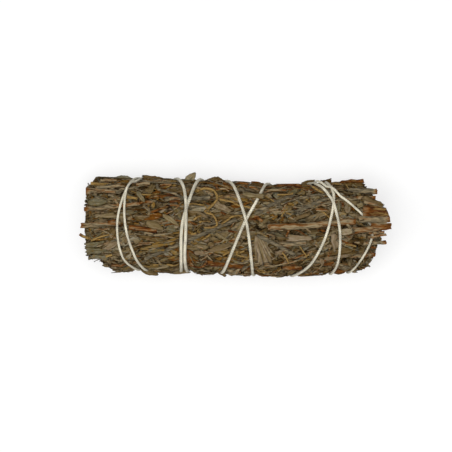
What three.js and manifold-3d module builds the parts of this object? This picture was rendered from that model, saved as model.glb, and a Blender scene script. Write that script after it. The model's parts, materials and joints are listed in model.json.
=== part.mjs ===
// Sage smudge stick: leafy sprigs of dried sage and bare cut stems, pressed side by side into a round
// bundle and bound with one cotton twine that winds along the bundle and back, crossing itself.
// Millimetres. +X runs along the stick towards the cut stem ends, +Y to its left, +Z is up.
// The stick lies on z = 0, and the origin is under the middle of its box.

import * as THREE from "three";
import { mergeVertices } from "three/addons/utils/BufferGeometryUtils.js";
import Module from "manifold-3d";

const wasm = await Module();
wasm.setup();

// Driving dimensions
const BODY_RADIUS = 14.0; // from the axis to the pressed leaf surface that the twine lies on
const AXIS_HEIGHT = 14.6; // the bundle's axis above the table
const AXIS_SIDE = 0.32; // the axis, where the stick is straight, from the middle of its box
const BOW_DEPTH = 1.45; // the stick bows this far to its right
const BOW_X = 14; // where it bows most
const BOW_SPREAD = 19; // half the length of the bow
const FLAT_HEIGHT = 1.9; // the underside is pressed flat at this height, and leaf pads reach down from it
const SHOULDER_X = 36; // past here the surface draws in towards the cut ends
const SHOULDER_DRAW = 0.011; // share of the radius lost for each millimetre past the shoulder
const GAP = 0.34; // clearance between neighbouring pieces

// Sprigs lie in three rings about the axis. Each ring has its own reach towards both ends.
const SPRIG_RINGS = [
  { count: 3, radius: 3.3, sides: 5, leafStart: -48.8, leafEnd: 46.2, stemReach: 4.0 },
  { count: 8, radius: 7.7, sides: 5, leafStart: -48.6, leafEnd: 44.2, stemReach: 3.4 },
  { count: 15, radius: 12.0, sides: 6, leafStart: -47.0, leafEnd: 41.4, stemReach: 2.2 },
];
const OUTER_RING = SPRIG_RINGS.length - 1;
const GRID_STEP = 16.5; // spacing of the cross-sections along a sprig
const GRID_START = -33;
const GRID_END = 33;
const END_SPREAD = 2.2; // how far apart the leaf ends of one ring fall
const END_SHRINK = 0.3; // a sprig's section at its leaf end, as a share of its full section
const END_ROUND = 3.2; // length over which the leaf end fills out
const STEM_RADIUS = 1.05; // the cut stem that stands out of a sprig's right end
const BUNDLE_TWIST = 0.3; // turn of the whole bundle over its length, in radians
const BUNDLE_LENGTH = 101.6; // a four inch stick
const WANDER = 0.07; // how far a sprig strays round the axis, in radians
const CHAMFER_ANGLE = -2.9; // the lower left end is worn back about this angle from +Y towards +Z
const CHAMFER_DEPTH = 9;

// Leaf blades fused to the outer sprigs
const BLADE_LENGTH = 12.5;
const BLADE_WIDTH = 4.1;
const BLADE_THICKNESS = 1.1;
const BLADE_LIFT = 1.75; // how far a blade's tip stands above the pressed surface
const BLADE_TRIES = 40;
const BLADES_PER_SPRIG = 2;
const TIP_LENGTH = 9; // the leaf that stands out of a sprig's left end
const TIP_WIDTH = 2.9;
const TIP_REACH = 2.6; // how far it stands out
const PAD_STATIONS = [-38.5, 1.8, 23.3]; // leaf pads under the stick, between the turns of twine
const PAD_LENGTH = 9.4;
const PAD_WIDTH = 3.4;
const PAD_THICKNESS = 6;
const PAD_DROP = 3.4; // its ridge before the table trims it flat
const PAD_SPAN = 36; // pads lie within this angle of straight down, in degrees

// Twine
const TWINE_DIAMETER = 1.0;
const TWINE_SIDES = 5;
const TWINE_LIFT = 0.95; // from the pressed surface to the twine's centreline
const TWINE_SLOPE = 0.4; // how steeply it climbs over another turn of itself
const DIP_SLOPE = 1.2; // how steeply it goes down under the stems
const TWINE_STEP = 1.2;
const TWINE_TOLERANCE = 0.27;
const CROSSING_CLEARANCE = 0.12;
const KNOT_RADIUS = 1.35;

// Bare stems on the upper side: radius, then the route as [x, y, depth of its centreline under the surface].
const UPPER_STEMS = [
  { radius: 1.2, route: [[10, -0.3, 1.2], [24, 0.2, 1.2], [39.0, 1.5, 0.5]] },
  { radius: 1.2, route: [[40.0, 2.0, 0.4], [45, 2.1, 0.1], [50.1, 2.3, -0.2]] },
  { radius: 1.1, route: [[36.4, -1.8, 1.0], [43.5, -0.9, 0.2], [50.65, 0.0, 0.0]] },
  { radius: 0.7, route: [[32.6, 14.4, -0.5], [37, 14.6, -0.9], [41.7, 14.8, -1.7]] },
  { radius: 1.1, route: [[35.5, 11.2, 1.3], [41, 11.1, 1.0], [46.0, 11.0, 0.4]] },
  { radius: 0.65, route: [[36.5, 8.9, 1.0], [41, 9.0, 0.9], [45.5, 9.0, 0.7]] },
  { radius: 0.75, route: [[37.5, -5.6, 1.4], [43, -5.4, 2.2], [49, -5.1, 3.2]] },
  { radius: 0.85, route: [[34.5, -9.6, 1.3], [40, -9.3, 1.6], [45.6, -9.0, 2.2]] },
  { radius: 0.95, route: [[30, -12.6, 1.2], [36.5, -13.0, 0.9], [42.5, -13.6, -0.7]] },
  { radius: 1.15, route: [[-48.8, 11.2, 1.3], [-43, 11.0, 1.2], [-35.5, 10.2, 1.3]] },
  { radius: 0.8, route: [[-49.2, 5.3, 1.2], [-42, 6.0, 0.9], [-30, 7.4, 1.0]] },
  { radius: 0.9, route: [[-50.3, 0.2, 1.6], [-45, 0.6, 1.2], [-36.5, 1.1, 1.1]] },
  { radius: 0.5, route: [[-50.6, -2.6, 1.2], [-48.6, -3.7, 1.2], [-46.6, -4.3, 1.3]] },
  { radius: 0.55, route: [[-47.2, 13.4, 0.6], [-44, 13.0, 0.7], [-41, 12.9, 0.9]] },
  { radius: 0.85, route: [[-34.6, -0.4, 1.0], [-30, -0.8, 0.9], [-25.6, -1.5, 1.2]] },
  { radius: 1.05, route: [[-9.2, -11.2, 1.1], [-3, -12.0, 1.05], [4.6, -12.7, 1.2]] },
  { radius: 1.0, route: [[15.4, -12.6, 1.2], [18.6, -12.9, 1.0], [21.8, -12.8, 1.2]] },
  { radius: 1.05, route: [[13.6, -6.2, 1.2], [18, -5.7, 1.1], [23, -5.1, 1.3]] },
  { radius: 0.7, route: [[-29.4, -10.1, 1.0], [-20, -6.5, 0.8], [-9, -1.8, 0.8], [0.2, 2.0, 0.9]] },
  { radius: 0.7, route: [[6.8, 4.2, 0.9], [12.5, 7.0, 0.8], [18.8, 9.6, 1.0]] },
  { radius: 0.75, route: [[19.6, 4.1, 0.9], [25, 6.7, 0.8], [30.8, 9.1, 1.0]] },
  { radius: 0.85, route: [[-23, 8.4, 1.0], [-16, 8.6, 0.95], [-8.4, 8.9, 1.0]] },
  { radius: 0.85, route: [[4.5, 12.2, 1.1], [14, 12.4, 0.95], [24, 12.3, 1.1]] },
];
// Bare stems round the underside: radius, x at both ends, and the angle from +Y towards +Z in degrees.
const LOWER_STEMS = [
  { radius: 1.1, from: -41, to: -14, angle: 196, drift: 6 },
  { radius: 1.0, from: -6, to: 40.5, angle: 203, drift: -7 },
  { radius: 1.15, from: -48.6, to: -8, angle: 338, drift: -6 },
  { radius: 0.95, from: 8, to: 44.5, angle: 331, drift: 5 },
];
const STEM_SIDES = 5;
const STEM_SAMPLES = 12;
const STEM_TAPER = 0.86; // a stem's far end, as a share of its near end
const LOWER_STEM_DEPTH = 1.15;

// x of each pass of the twine over the upper side, at these angles from straight up towards +Y.
const PASS_ANGLES = [90, 45, 0, -45, -90];
const TWINE_PASSES = [
  [29.4, 31.9, 30.2, 25.3, 18.7],
  [10.4, 7.5, 2.1, -2.1, -4.4],
  [-11.6, -14.3, -17.35, -17.65, -17.7],
  [-32.0, -36.0, -38.5, -36.8, -31.4],
  [-30.5, -35.6, -35.9, -32.7, -28.8],
  [-19.3, -16.6, -16.15, -16.45, -15.5],
  [-2.8, 0.7, 3.9, 5.3, 6.1],
  [24.5, 30.4, 33.8, 33.6, 31.2],
];
const UNDER_SHARE = 0.22; // how much of the way to its next pass it has gone at the lowest point
// The last pass, as [x, angle, depth]: it dips under the two long stems at the right end.
const END_PASS = [
  [25.9, 90, 0],
  [32.5, 50, 0],
  [38.0, 29, 0],
  [40.8, 19, 0.5],
  [42.6, 12, 3.0],
  [44.2, 2, 3.4],
  [44.7, -9, 3.2],
  [44.4, -17, 1.5],
  [43.5, -27, 0.2],
  [40.4, -54, 0],
  [37.0, -90, 0],
];
const KNOT = { x: 31.5, angle: 124 }; // on the far side, where the twine's two ends are tied
const TAIL_TIPS = [{ x: 24.5, angle: 133 }, { x: 38, angle: 131 }];

// Dried colours
const LEAF_COLOURS = [0x6b614a, 0x766a50, 0x5f5742, 0x7b7058];
const STEM_COLOURS = [0x9a7a52, 0x8a5c2e, 0x7d4a24, 0x857558];
const TWINE_COLOUR = 0xdcd7c6;

const radians = THREE.MathUtils.degToRad;

// A seeded source of numbers from 0 to 1, so that every build grows the same bundle.
function seeded(seed) {
  return () => {
    seed = (seed + 0x6d2b79f5) | 0;
    let t = Math.imul(seed ^ (seed >>> 15), 1 | seed);
    t = (t + Math.imul(t ^ (t >>> 7), 61 | t)) ^ t;
    return ((t ^ (t >>> 14)) >>> 0) / 4294967296;
  };
}

// The bundle's axis at a place along it.
function axisAt(x) {
  const bow = BOW_DEPTH * Math.exp(-(((x - BOW_X) / BOW_SPREAD) ** 2));
  return new THREE.Vector3(0, AXIS_SIDE - bow, AXIS_HEIGHT);
}

// The pressed surface: round about the axis, flat underneath, drawn in towards the right end.
function roundRadius(x) {
  return BODY_RADIUS * (1 - SHOULDER_DRAW * Math.max(0, x - SHOULDER_X));
}

// Distance from the axis to the pressed surface, at an angle from +Y towards +Z.
function surfaceRadius(x, angle) {
  const down = -Math.sin(angle);
  const flat = down > 0 ? (AXIS_HEIGHT - FLAT_HEIGHT) / down : Infinity;
  return Math.min(roundRadius(x), flat);
}

function polar(x, angle, radius) {
  return new THREE.Vector3(x, radius * Math.cos(angle), radius * Math.sin(angle)).add(axisAt(x));
}

// A closed surface through rings of equally many points, fanned shut at both ends.
function loft(rings) {
  const sides = rings[0].length;
  const last = (rings.length - 1) * sides;
  const index = [];
  for (let start = 0; start < last; start += sides) {
    for (let side = 0; side < sides; side++) {
      const a = start + side;
      const b = start + ((side + 1) % sides);
      index.push(a, b, b + sides, a, b + sides, a + sides);
    }
  }
  for (let side = 1; side + 1 < sides; side++) {
    index.push(0, side + 1, side, last, last + side, last + side + 1);
  }
  return new THREE.BufferGeometry().setFromPoints(rings.flat()).setIndex(index);
}

// Rings of a tube along a line of points, square to it and carried along without turning about it.
function tubeRings(points, radii, sides) {
  let normal = new THREE.Vector3(0, 0, 1);
  return points.map((point, i) => {
    const ahead = points[Math.min(i + 1, points.length - 1)];
    const behind = points[Math.max(i - 1, 0)];
    const along = ahead.clone().sub(behind).normalize();
    normal = normal.clone().addScaledVector(along, -normal.dot(along)).normalize();
    const across = along.clone().cross(normal);
    return Array.from({ length: sides }, (_, side) => {
      const turn = (2 * Math.PI * side) / sides;
      return point
        .clone()
        .addScaledVector(normal, radii[i] * Math.cos(turn))
        .addScaledVector(across, radii[i] * Math.sin(turn));
    });
  });
}

function solidOf(geometry) {
  const bare = new THREE.BufferGeometry()
    .setAttribute("position", geometry.getAttribute("position"))
    .setIndex(geometry.getIndex());
  const merged = mergeVertices(bare, 1e-4);
  return new wasm.Manifold(
    new wasm.Mesh({
      numProp: 3,
      vertProperties: merged.getAttribute("position").array,
      triVerts: new Uint32Array(merged.getIndex().array),
    }),
  );
}

function geometryOf(solid) {
  const mesh = solid.getMesh();
  const geometry = new THREE.BufferGeometry()
    .setAttribute("position", new THREE.BufferAttribute(mesh.vertProperties, 3))
    .setIndex(new THREE.BufferAttribute(mesh.triVerts, 1))
    .toNonIndexed();
  geometry.computeVertexNormals();
  return geometry;
}

// The largest piece of a solid that a cut may have parted.
function largest(solid) {
  return solid.decompose().reduce((best, piece) => (piece.volume() > best.volume() ? piece : best));
}

// Twine: its route over the bundle, from one tail round every pass to the other tail.
function twineKnots() {
  const passes = TWINE_PASSES.map((pass) => pass.map((x, i) => [x, PASS_ANGLES[i], 0]));
  passes.push(END_PASS);
  const knots = [TAIL_TIPS[0], KNOT].map(({ x, angle }) => ({ x, angle, sink: 0 }));
  passes.forEach((pass, turn) => {
    for (const [x, angle, sink] of pass) knots.push({ x, angle: angle - 360 * turn, sink });
    const leaves = pass.at(-1)[0];
    const arrives = passes[turn + 1]?.[0][0] ?? KNOT.x;
    const under = THREE.MathUtils.lerp(leaves, arrives, UNDER_SHARE);
    knots.push({ x: under, angle: -180 - 360 * turn, sink: 0 });
  });
  for (const { x, angle } of [KNOT, TAIL_TIPS[1]]) {
    knots.push({ x, angle: angle - 360 * passes.length, sink: 0 });
  }
  return knots;
}

// Evenly spaced stations along the twine, lifted clear of every earlier turn that they cross.
function twineStations() {
  const flat = twineKnots().map(
    ({ x, angle, sink }) => new THREE.Vector3(x, radians(angle) * BODY_RADIUS, sink),
  );
  const curve = new THREE.CatmullRomCurve3(flat, false, "centripetal");
  const count = Math.round(curve.getLength() / TWINE_STEP);
  const pitch = TWINE_DIAMETER + CROSSING_CLEARANCE;
  const circle = 2 * Math.PI * BODY_RADIUS;
  const stations = [];
  for (const [i, { x, y, z }] of curve.getSpacedPoints(count).entries()) {
    const angle = Math.PI / 2 - y / BODY_RADIUS;
    const climb = (z > 0.1 ? DIP_SLOPE : TWINE_SLOPE) * TWINE_STEP;
    let radius = surfaceRadius(x, angle) + TWINE_LIFT - z;
    if (i > 0) radius = Math.max(radius, stations[i - 1].radius - climb);
    for (const earlier of stations.slice(0, Math.max(0, i - 8))) {
      const round = Math.abs(y - earlier.y) % circle;
      const apart = Math.hypot(x - earlier.x, Math.min(round, circle - round));
      if (apart < pitch) radius = Math.max(radius, earlier.radius + Math.sqrt(pitch ** 2 - apart ** 2));
    }
    stations.push({ x, y, angle, radius, climb });
    for (let k = i - 1; k >= 0; k--) {
      const low = stations[k + 1].radius - stations[k + 1].climb;
      if (stations[k].radius >= low) break;
      stations[k].radius = low;
    }
  }
  return stations;
}

// Leaves out the points of a line that lie within a tolerance of the chord past them.
function thinned(points, tolerance) {
  const chord = new THREE.Line3(points[0], points.at(-1));
  const foot = new THREE.Vector3();
  let worst = 0;
  let most = tolerance;
  for (let i = 1; i + 1 < points.length; i++) {
    const off = chord.closestPointToPoint(points[i], true, foot).distanceTo(points[i]);
    if (off > most) [worst, most] = [i, off];
  }
  if (!worst) return [points[0], points.at(-1)];
  return [
    ...thinned(points.slice(0, worst + 1), tolerance).slice(0, -1),
    ...thinned(points.slice(worst), tolerance),
  ];
}

const twineRoute = twineStations();
const twineLine = thinned(
  twineRoute.map(({ x, angle, radius }) => polar(x, angle, radius)),
  TWINE_TOLERANCE,
);

function twineTube(radius) {
  return solidOf(loft(tubeRings(twineLine, twineLine.map(() => radius), TWINE_SIDES)));
}

function knotSolid(grow) {
  const angle = radians(90 - KNOT.angle);
  const at = polar(KNOT.x, angle, surfaceRadius(KNOT.x, angle) + TWINE_LIFT + TWINE_DIAMETER / 2);
  const ball = new THREE.IcosahedronGeometry(KNOT_RADIUS + grow, 1);
  ball.deleteAttribute("normal");
  ball.deleteAttribute("uv");
  const closed = mergeVertices(ball, 1e-4);
  return solidOf(closed.translate(at.x, at.y, at.z));
}

const twine = twineTube(TWINE_DIAMETER / 2).add(knotSolid(0));
const twineRoom = twineTube(TWINE_DIAMETER / 2 + GAP).add(knotSolid(GAP));

// Bare stems: tapered sticks with cut ends, sunk in the pressed surface.
function upperStemLine(route) {
  return route.map(([x, y, depth]) => {
    const radius = roundRadius(x) - depth;
    const side = THREE.MathUtils.clamp((y - axisAt(x).y) / radius, -0.99, 0.99);
    return polar(x, Math.acos(side), radius);
  });
}

function lowerStemLine({ from, to, angle, drift }) {
  return [0, 1 / 3, 2 / 3, 1].map((share) => {
    const x = THREE.MathUtils.lerp(from, to, share);
    const turn = radians(angle + drift * Math.sin(Math.PI * share));
    return polar(x, turn, surfaceRadius(x, turn) - LOWER_STEM_DEPTH);
  });
}

function stemSolid({ line, radius }, grow) {
  const curve = new THREE.CatmullRomCurve3(line);
  const points = curve.getSpacedPoints(line.length - 1);
  points[0].addScaledVector(curve.getTangentAt(0), -grow);
  points.at(-1).addScaledVector(curve.getTangentAt(1), grow);
  const taper = (share) => THREE.MathUtils.lerp(1, STEM_TAPER, share);
  const radii = points.map((_, i) => radius * taper(i / (line.length - 1)) + grow);
  return solidOf(loft(tubeRings(points, radii, STEM_SIDES)));
}

const stems = [
  ...UPPER_STEMS.map(({ radius, route }) => ({ radius, line: upperStemLine(route) })),
  ...LOWER_STEMS.map((stem) => ({ radius: stem.radius, line: lowerStemLine(stem) })),
];

// Sprigs: each fills the space nearer to its own line than to any other sprig's.
const chance = seeded(7);
const sprigs = SPRIG_RINGS.flatMap((ring, ringIndex) =>
  Array.from({ length: ring.count }, (_, i) => {
    const angle = (2 * Math.PI * (i + 0.5 * ringIndex + 0.3 * (chance() - 0.5))) / ring.count;
    const spread = () => END_SPREAD * (chance() - 0.5);
    const worn = ringIndex === OUTER_RING ? Math.max(0, Math.cos(angle - CHAMFER_ANGLE) - 0.5) : 0;
    return {
      ring,
      ringIndex,
      angle,
      phase: 2 * Math.PI * chance(),
      radius: ring.radius * (1 + 0.05 * (chance() - 0.5)),
      leafStart: ring.leafStart + spread() + CHAMFER_DEPTH * worn,
      leafEnd: ring.leafEnd + spread(),
      stemReach: ring.stemReach * (0.35 + 0.65 * chance()),
    };
  }),
);

function sprigAngle(sprig, x) {
  const share = x / BUNDLE_LENGTH;
  return sprig.angle + BUNDLE_TWIST * share + WANDER * Math.sin(2 * Math.PI * share + sprig.phase);
}

function sprigCentre(sprig, x) {
  const angle = sprigAngle(sprig, x);
  const draw = roundRadius(x) / BODY_RADIUS;
  return new THREE.Vector2(Math.cos(angle), Math.sin(angle)).multiplyScalar(sprig.radius * draw);
}

// How far a sprig's section reaches from its centre in one direction.
function sprigReach(sprig, x, direction) {
  const centre = sprigCentre(sprig, x);
  const inward = centre.dot(direction);
  const radius = roundRadius(x);
  let reach = -inward + Math.sqrt(inward ** 2 + radius ** 2 - centre.lengthSq());
  if (direction.y < 0) reach = Math.min(reach, (FLAT_HEIGHT - AXIS_HEIGHT - centre.y) / direction.y);
  for (const other of sprigs) {
    if (other === sprig) continue;
    const between = sprigCentre(other, x).sub(centre);
    const facing = between.dot(direction) / between.length();
    if (facing > 0) reach = Math.min(reach, (between.length() / 2 - GAP / 2) / facing);
  }
  return reach;
}

function sprigRing(sprig, x, share, stemRadius) {
  const centre = sprigCentre(sprig, x);
  return Array.from({ length: sprig.ring.sides }, (_, side) => {
    const turn = (2 * Math.PI * side) / sprig.ring.sides + sprigAngle(sprig, 0);
    const direction = new THREE.Vector2(Math.cos(turn), Math.sin(turn));
    const reach = stemRadius ?? share * sprigReach(sprig, x, direction);
    const at = centre.clone().addScaledVector(direction, reach);
    return new THREE.Vector3(x, at.x, at.y).add(axisAt(x));
  });
}

function sprigBody(sprig) {
  const { leafStart, leafEnd, stemReach } = sprig;
  const rings = [sprigRing(sprig, leafStart, END_SHRINK), sprigRing(sprig, leafStart + END_ROUND, 0.94)];
  for (let x = GRID_START; x <= GRID_END; x += GRID_STEP) rings.push(sprigRing(sprig, x, 1));
  rings.push(sprigRing(sprig, leafEnd - END_ROUND, 0.94), sprigRing(sprig, leafEnd, END_SHRINK));
  rings.push(sprigRing(sprig, leafEnd + 0.5, 1, STEM_RADIUS));
  rings.push(sprigRing(sprig, leafEnd + 0.5 + stemReach, 1, STEM_RADIUS));
  return solidOf(loft(rings));
}

// A leaf blade: a pointed lens with a raised midrib, lying on the surface with its tip lifted.
function bladeSolid({ x, angle, depth = 0, heading, length, width, thickness, base = 0.2, lift }) {
  const out = new THREE.Vector3(0, Math.cos(angle), Math.sin(angle));
  const round = new THREE.Vector3(0, -Math.sin(angle), Math.cos(angle));
  const along = new THREE.Vector3(Math.cos(heading), 0, 0).addScaledVector(round, Math.sin(heading));
  const across = out.clone().cross(along);
  const foot = polar(x, angle, surfaceRadius(x, angle) - depth);
  const place = (share, side, height) =>
    foot
      .clone()
      .addScaledVector(along, (share - 0.5) * length)
      .addScaledVector(across, side)
      .addScaledVector(out, height);
  const rings = [0.03, 0.45, 0.97].map((share) => {
    const half = (width / 2) * Math.sin(Math.PI * share) ** 0.7;
    const top = THREE.MathUtils.lerp(base, lift, share);
    const thick = thickness * Math.max(0.35, Math.sin(Math.PI * share));
    return [
      place(share, -half, top - thick / 2),
      place(share, 0, top - thick),
      place(share, half, top - thick / 2),
      place(share, 0, top),
    ];
  });
  return solidOf(loft(rings));
}

function clearOfTwine(x, angle, length, width) {
  const room = TWINE_DIAMETER / 2 + GAP + 0.25;
  return twineRoute.every((station) => {
    const turn = Math.atan2(Math.sin(angle - station.angle), Math.cos(angle - station.angle));
    const past = Math.max(0, Math.abs(x - station.x) - length / 2);
    const beside = Math.max(0, Math.abs(turn) * BODY_RADIUS - width / 2);
    return Math.hypot(past, beside) > room;
  });
}

function clearOfStems(x, angle, length, width) {
  return stems.every(({ line, radius }) => {
    const points = new THREE.CatmullRomCurve3(line).getSpacedPoints(STEM_SAMPLES);
    return points.every((point) => {
      const arm = point.clone().sub(axisAt(point.x));
      const turn = Math.atan2(arm.z, arm.y) - angle;
      const beside = Math.abs(Math.atan2(Math.sin(turn), Math.cos(turn))) * BODY_RADIUS - width / 2;
      const past = Math.abs(x - point.x) - length / 2;
      return Math.hypot(Math.max(0, past), Math.max(0, beside)) > radius + GAP;
    });
  });
}

function isUnder(angle) {
  return -Math.sin(angle) > Math.cos(radians(PAD_SPAN));
}

function isClear(x, angle, length, width) {
  return clearOfTwine(x, angle, length, width) && clearOfStems(x, angle, length, width);
}

// Blades for one outer sprig, set where no turn of twine passes.
function sprigBlades(sprig) {
  const blades = [];
  for (let tries = 0; tries < BLADE_TRIES && blades.length < BLADES_PER_SPRIG; tries++) {
    const x = THREE.MathUtils.lerp(sprig.leafStart + 4, sprig.leafEnd - 5, chance());
    const angle = sprigAngle(sprig, x);
    const length = BLADE_LENGTH * (0.7 + 0.4 * chance());
    const heading = (chance() < 0.5 ? Math.PI : 0) + 0.2 * (chance() - 0.5);
    const crowded = blades.some((other) => Math.abs(other.x - x) < 0.5 * (other.length + length) + 0.5);
    if (isUnder(angle) || crowded || !isClear(x, angle, length, BLADE_WIDTH)) continue;
    const shape = { width: BLADE_WIDTH, thickness: BLADE_THICKNESS, lift: BLADE_LIFT };
    blades.push({ x, angle, heading, length, ...shape });
  }
  return blades;
}

// The leaf at a sprig's left end, rooted in the sprig and standing out past it.
function sprigTip(sprig) {
  const x = sprig.leafStart - TIP_REACH * (0.5 + 0.5 * chance()) + TIP_LENGTH / 2;
  const angle = sprigAngle(sprig, x);
  const depth = surfaceRadius(x, angle) - sprig.radius;
  return {
    x,
    angle,
    depth: depth + 0.8 * (chance() - 0.5),
    heading: Math.PI,
    length: TIP_LENGTH,
    width: TIP_WIDTH,
    thickness: BLADE_THICKNESS,
    lift: 0.6 * chance(),
  };
}

// Pads of pressed leaf under the stick, which it rests on.
function sprigPads(sprig) {
  return PAD_STATIONS.map((x) => ({ x, angle: sprigAngle(sprig, x) }))
    .filter(({ x, angle }) => isUnder(angle) && isClear(x, angle, PAD_LENGTH, PAD_WIDTH))
    .map((place) => ({
      ...place,
      heading: 0,
      length: PAD_LENGTH,
      width: PAD_WIDTH,
      thickness: PAD_THICKNESS,
      base: PAD_DROP,
      lift: PAD_DROP,
    }));
}

const tableSize = 2 * BUNDLE_LENGTH;
const tableGeometry = new THREE.BoxGeometry(tableSize, tableSize, tableSize).translate(0, 0, -tableSize / 2);
tableGeometry.deleteAttribute("normal");
tableGeometry.deleteAttribute("uv");
const table = solidOf(mergeVertices(tableGeometry, 1e-4));

const stemRooms = stems.map((stem) => stemSolid(stem, GAP));

function sprigSolid(sprig) {
  let solid = sprigBody(sprig);
  if (sprig.ringIndex === OUTER_RING) {
    const leaves = [sprigTip(sprig), ...sprigBlades(sprig), ...sprigPads(sprig)];
    for (const leaf of leaves) solid = solid.add(bladeSolid(leaf));
    solid = solid.subtract(table);
  }
  for (const room of [...stemRooms, twineRoom]) {
    if (solid.intersect(room).volume() > 0) solid = solid.subtract(room);
  }
  return largest(solid);
}

// The scene graph
const numbered = (name, i) => `${name}_${String(i + 1).padStart(2, "0")}`;

function piece(name, solid, color, roughness) {
  const material = new THREE.MeshStandardMaterial({ color, roughness, metalness: 0 });
  const mesh = new THREE.Mesh(geometryOf(solid), material);
  mesh.name = name;
  return mesh;
}

const smudgeStick = new THREE.Group();
smudgeStick.name = "sage_smudge_stick";
sprigs.forEach((sprig, i) => {
  const colour = LEAF_COLOURS[i % LEAF_COLOURS.length];
  smudgeStick.add(piece(numbered("sprig", i), sprigSolid(sprig), colour, 0.9));
});
stems.forEach((stem, i) => {
  const colour = STEM_COLOURS[i % STEM_COLOURS.length];
  smudgeStick.add(piece(numbered("stem", i), stemSolid(stem, 0), colour, 0.75));
});
smudgeStick.add(piece("twine", twine, TWINE_COLOUR, 0.95));

export default smudgeStick;
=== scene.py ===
import json
import math
import random

import bmesh
import bpy
import numpy as np
from mathutils import Matrix, Vector, kdtree

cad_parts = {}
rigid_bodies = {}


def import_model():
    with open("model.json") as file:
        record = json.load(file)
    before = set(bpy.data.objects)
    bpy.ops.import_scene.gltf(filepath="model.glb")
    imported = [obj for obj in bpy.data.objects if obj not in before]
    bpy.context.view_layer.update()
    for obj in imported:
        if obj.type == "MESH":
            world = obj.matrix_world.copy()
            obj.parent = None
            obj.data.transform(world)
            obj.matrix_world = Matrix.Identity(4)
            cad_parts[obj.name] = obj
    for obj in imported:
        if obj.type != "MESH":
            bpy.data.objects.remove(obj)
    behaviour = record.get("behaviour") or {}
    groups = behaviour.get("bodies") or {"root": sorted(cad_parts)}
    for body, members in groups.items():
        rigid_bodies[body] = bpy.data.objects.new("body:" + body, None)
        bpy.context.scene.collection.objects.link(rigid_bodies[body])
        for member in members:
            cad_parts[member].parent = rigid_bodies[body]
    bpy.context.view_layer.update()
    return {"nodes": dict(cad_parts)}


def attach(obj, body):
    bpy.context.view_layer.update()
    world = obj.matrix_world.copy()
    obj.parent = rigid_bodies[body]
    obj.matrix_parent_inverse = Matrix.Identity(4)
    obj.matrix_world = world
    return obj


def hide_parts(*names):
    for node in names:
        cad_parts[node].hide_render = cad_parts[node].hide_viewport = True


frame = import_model()

# The bundle and the camera. The stick is a round bundle lying on its side, pressed a little flat underneath
# and bowed a little sideways. Every piece is laid on a straight bundle first, and then takes the bow.
# The photograph looks straight down on it from far away, with the stick's length across the picture.
MM = 0.001
AXIS = Vector((0, 0.32 * MM, 14.6 * MM))
BODY_RADIUS = 14.0 * MM
FLAT_DROP = 12.7 * MM
SHOULDER_X = 36 * MM
SHOULDER_DRAW = 11.0
BOW_DEPTH = 1.45 * MM
BOW_X = 14 * MM
BOW_SPREAD = 19 * MM
PHOTO_WIDTH = 452
PHOTO_PIXEL = 0.3267 * MM
STICK_MIDDLE_PIXEL = (235.5, 226.0)
CAMERA_DISTANCE = 3.0
CAMERA_ROLL = math.radians(0.6)


def bow(x):
    """How far the bundle's axis is bowed towards -Y at a place along it."""
    return BOW_DEPTH * np.exp(-(((x - BOW_X) / BOW_SPREAD) ** 2))


def shift_by_bow(mesh, way):
    """Gives a mesh the bundle's bow, or takes it away with way = -1."""
    spots = np.zeros(len(mesh.vertices) * 3)
    mesh.vertices.foreach_get("co", spots)
    spots[1::3] -= way * bow(spots[::3])
    mesh.vertices.foreach_set("co", spots)
    mesh.update()


def surface_radius(x, angle):
    """Distance from the axis to the pressed surface, at an angle from +Y towards +Z."""
    radius = BODY_RADIUS * (1 - SHOULDER_DRAW * max(0, x - SHOULDER_X))
    down = -math.sin(angle)
    return min(radius, FLAT_DROP / down) if down > 0 else radius


def on_bundle(x, angle, height):
    """A point at a height above the pressed surface."""
    radius = surface_radius(x, angle) + height
    return AXIS + Vector((x, radius * math.cos(angle), radius * math.sin(angle)))


def turned_back(x, y):
    """How far across the stick a point read off the photograph lies, without the camera's roll."""
    return y + x * math.tan(CAMERA_ROLL)


lens = bpy.data.cameras.new("camera")
lens.lens = lens.sensor_width * CAMERA_DISTANCE / (PHOTO_WIDTH * PHOTO_PIXEL)
camera = bpy.data.objects.new("camera", lens)
camera.location = (
    (PHOTO_WIDTH / 2 - STICK_MIDDLE_PIXEL[0]) * PHOTO_PIXEL,
    (STICK_MIDDLE_PIXEL[1] - PHOTO_WIDTH / 2) * PHOTO_PIXEL,
    AXIS.z + CAMERA_DISTANCE,
)
camera.rotation_euler = (0, 0, CAMERA_ROLL)
bpy.context.scene.collection.objects.link(camera)
bpy.context.scene.camera = camera

# The twine: one length of soft undyed cotton, three plies twisted together, about a millimetre thick.
# It winds to the left end and back, crosses itself on every turn, and is tied on the far side.
# It is drawn thin where it is pulled tight and spreads where two turns lie side by side.
TWINE_DIAMETER = 1.0 * MM
TWINE_LIFT = 0.95 * MM
TWINE_STEP = 0.6 * MM
TWINE_SLOPE = 0.4
DIP_SLOPE = 1.2
CROSSING_CLEARANCE = 0.12 * MM
UNDER_SHARE = 0.22
PASS_ANGLES = [90, 45, 0, -45, -90]
TWINE_PASSES = [
    [29.4, 31.9, 30.2, 25.3, 18.7],
    [10.4, 7.5, 2.1, -2.1, -4.4],
    [-11.6, -14.3, -17.35, -17.65, -17.7],
    [-32.0, -36.0, -38.5, -36.8, -31.4],
    [-30.5, -35.6, -35.9, -32.7, -28.8],
    [-19.3, -16.6, -16.15, -16.45, -15.5],
    [-2.8, 0.7, 3.9, 5.3, 6.1],
    [24.5, 30.4, 33.8, 33.6, 31.2],
]
END_PASS = [
    [25.9, 90, 0],
    [32.5, 50, 0],
    [38.0, 29, 0],
    [40.8, 19, 0.5],
    [42.6, 12, 3.0],
    [44.2, 2, 3.4],
    [44.7, -9, 3.2],
    [44.4, -17, 1.5],
    [43.5, -27, 0.2],
    [40.4, -54, 0],
    [37.0, -90, 0],
]
KNOT = (31.5, 124)
KNOT_SIZE = 0.36 * MM
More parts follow.
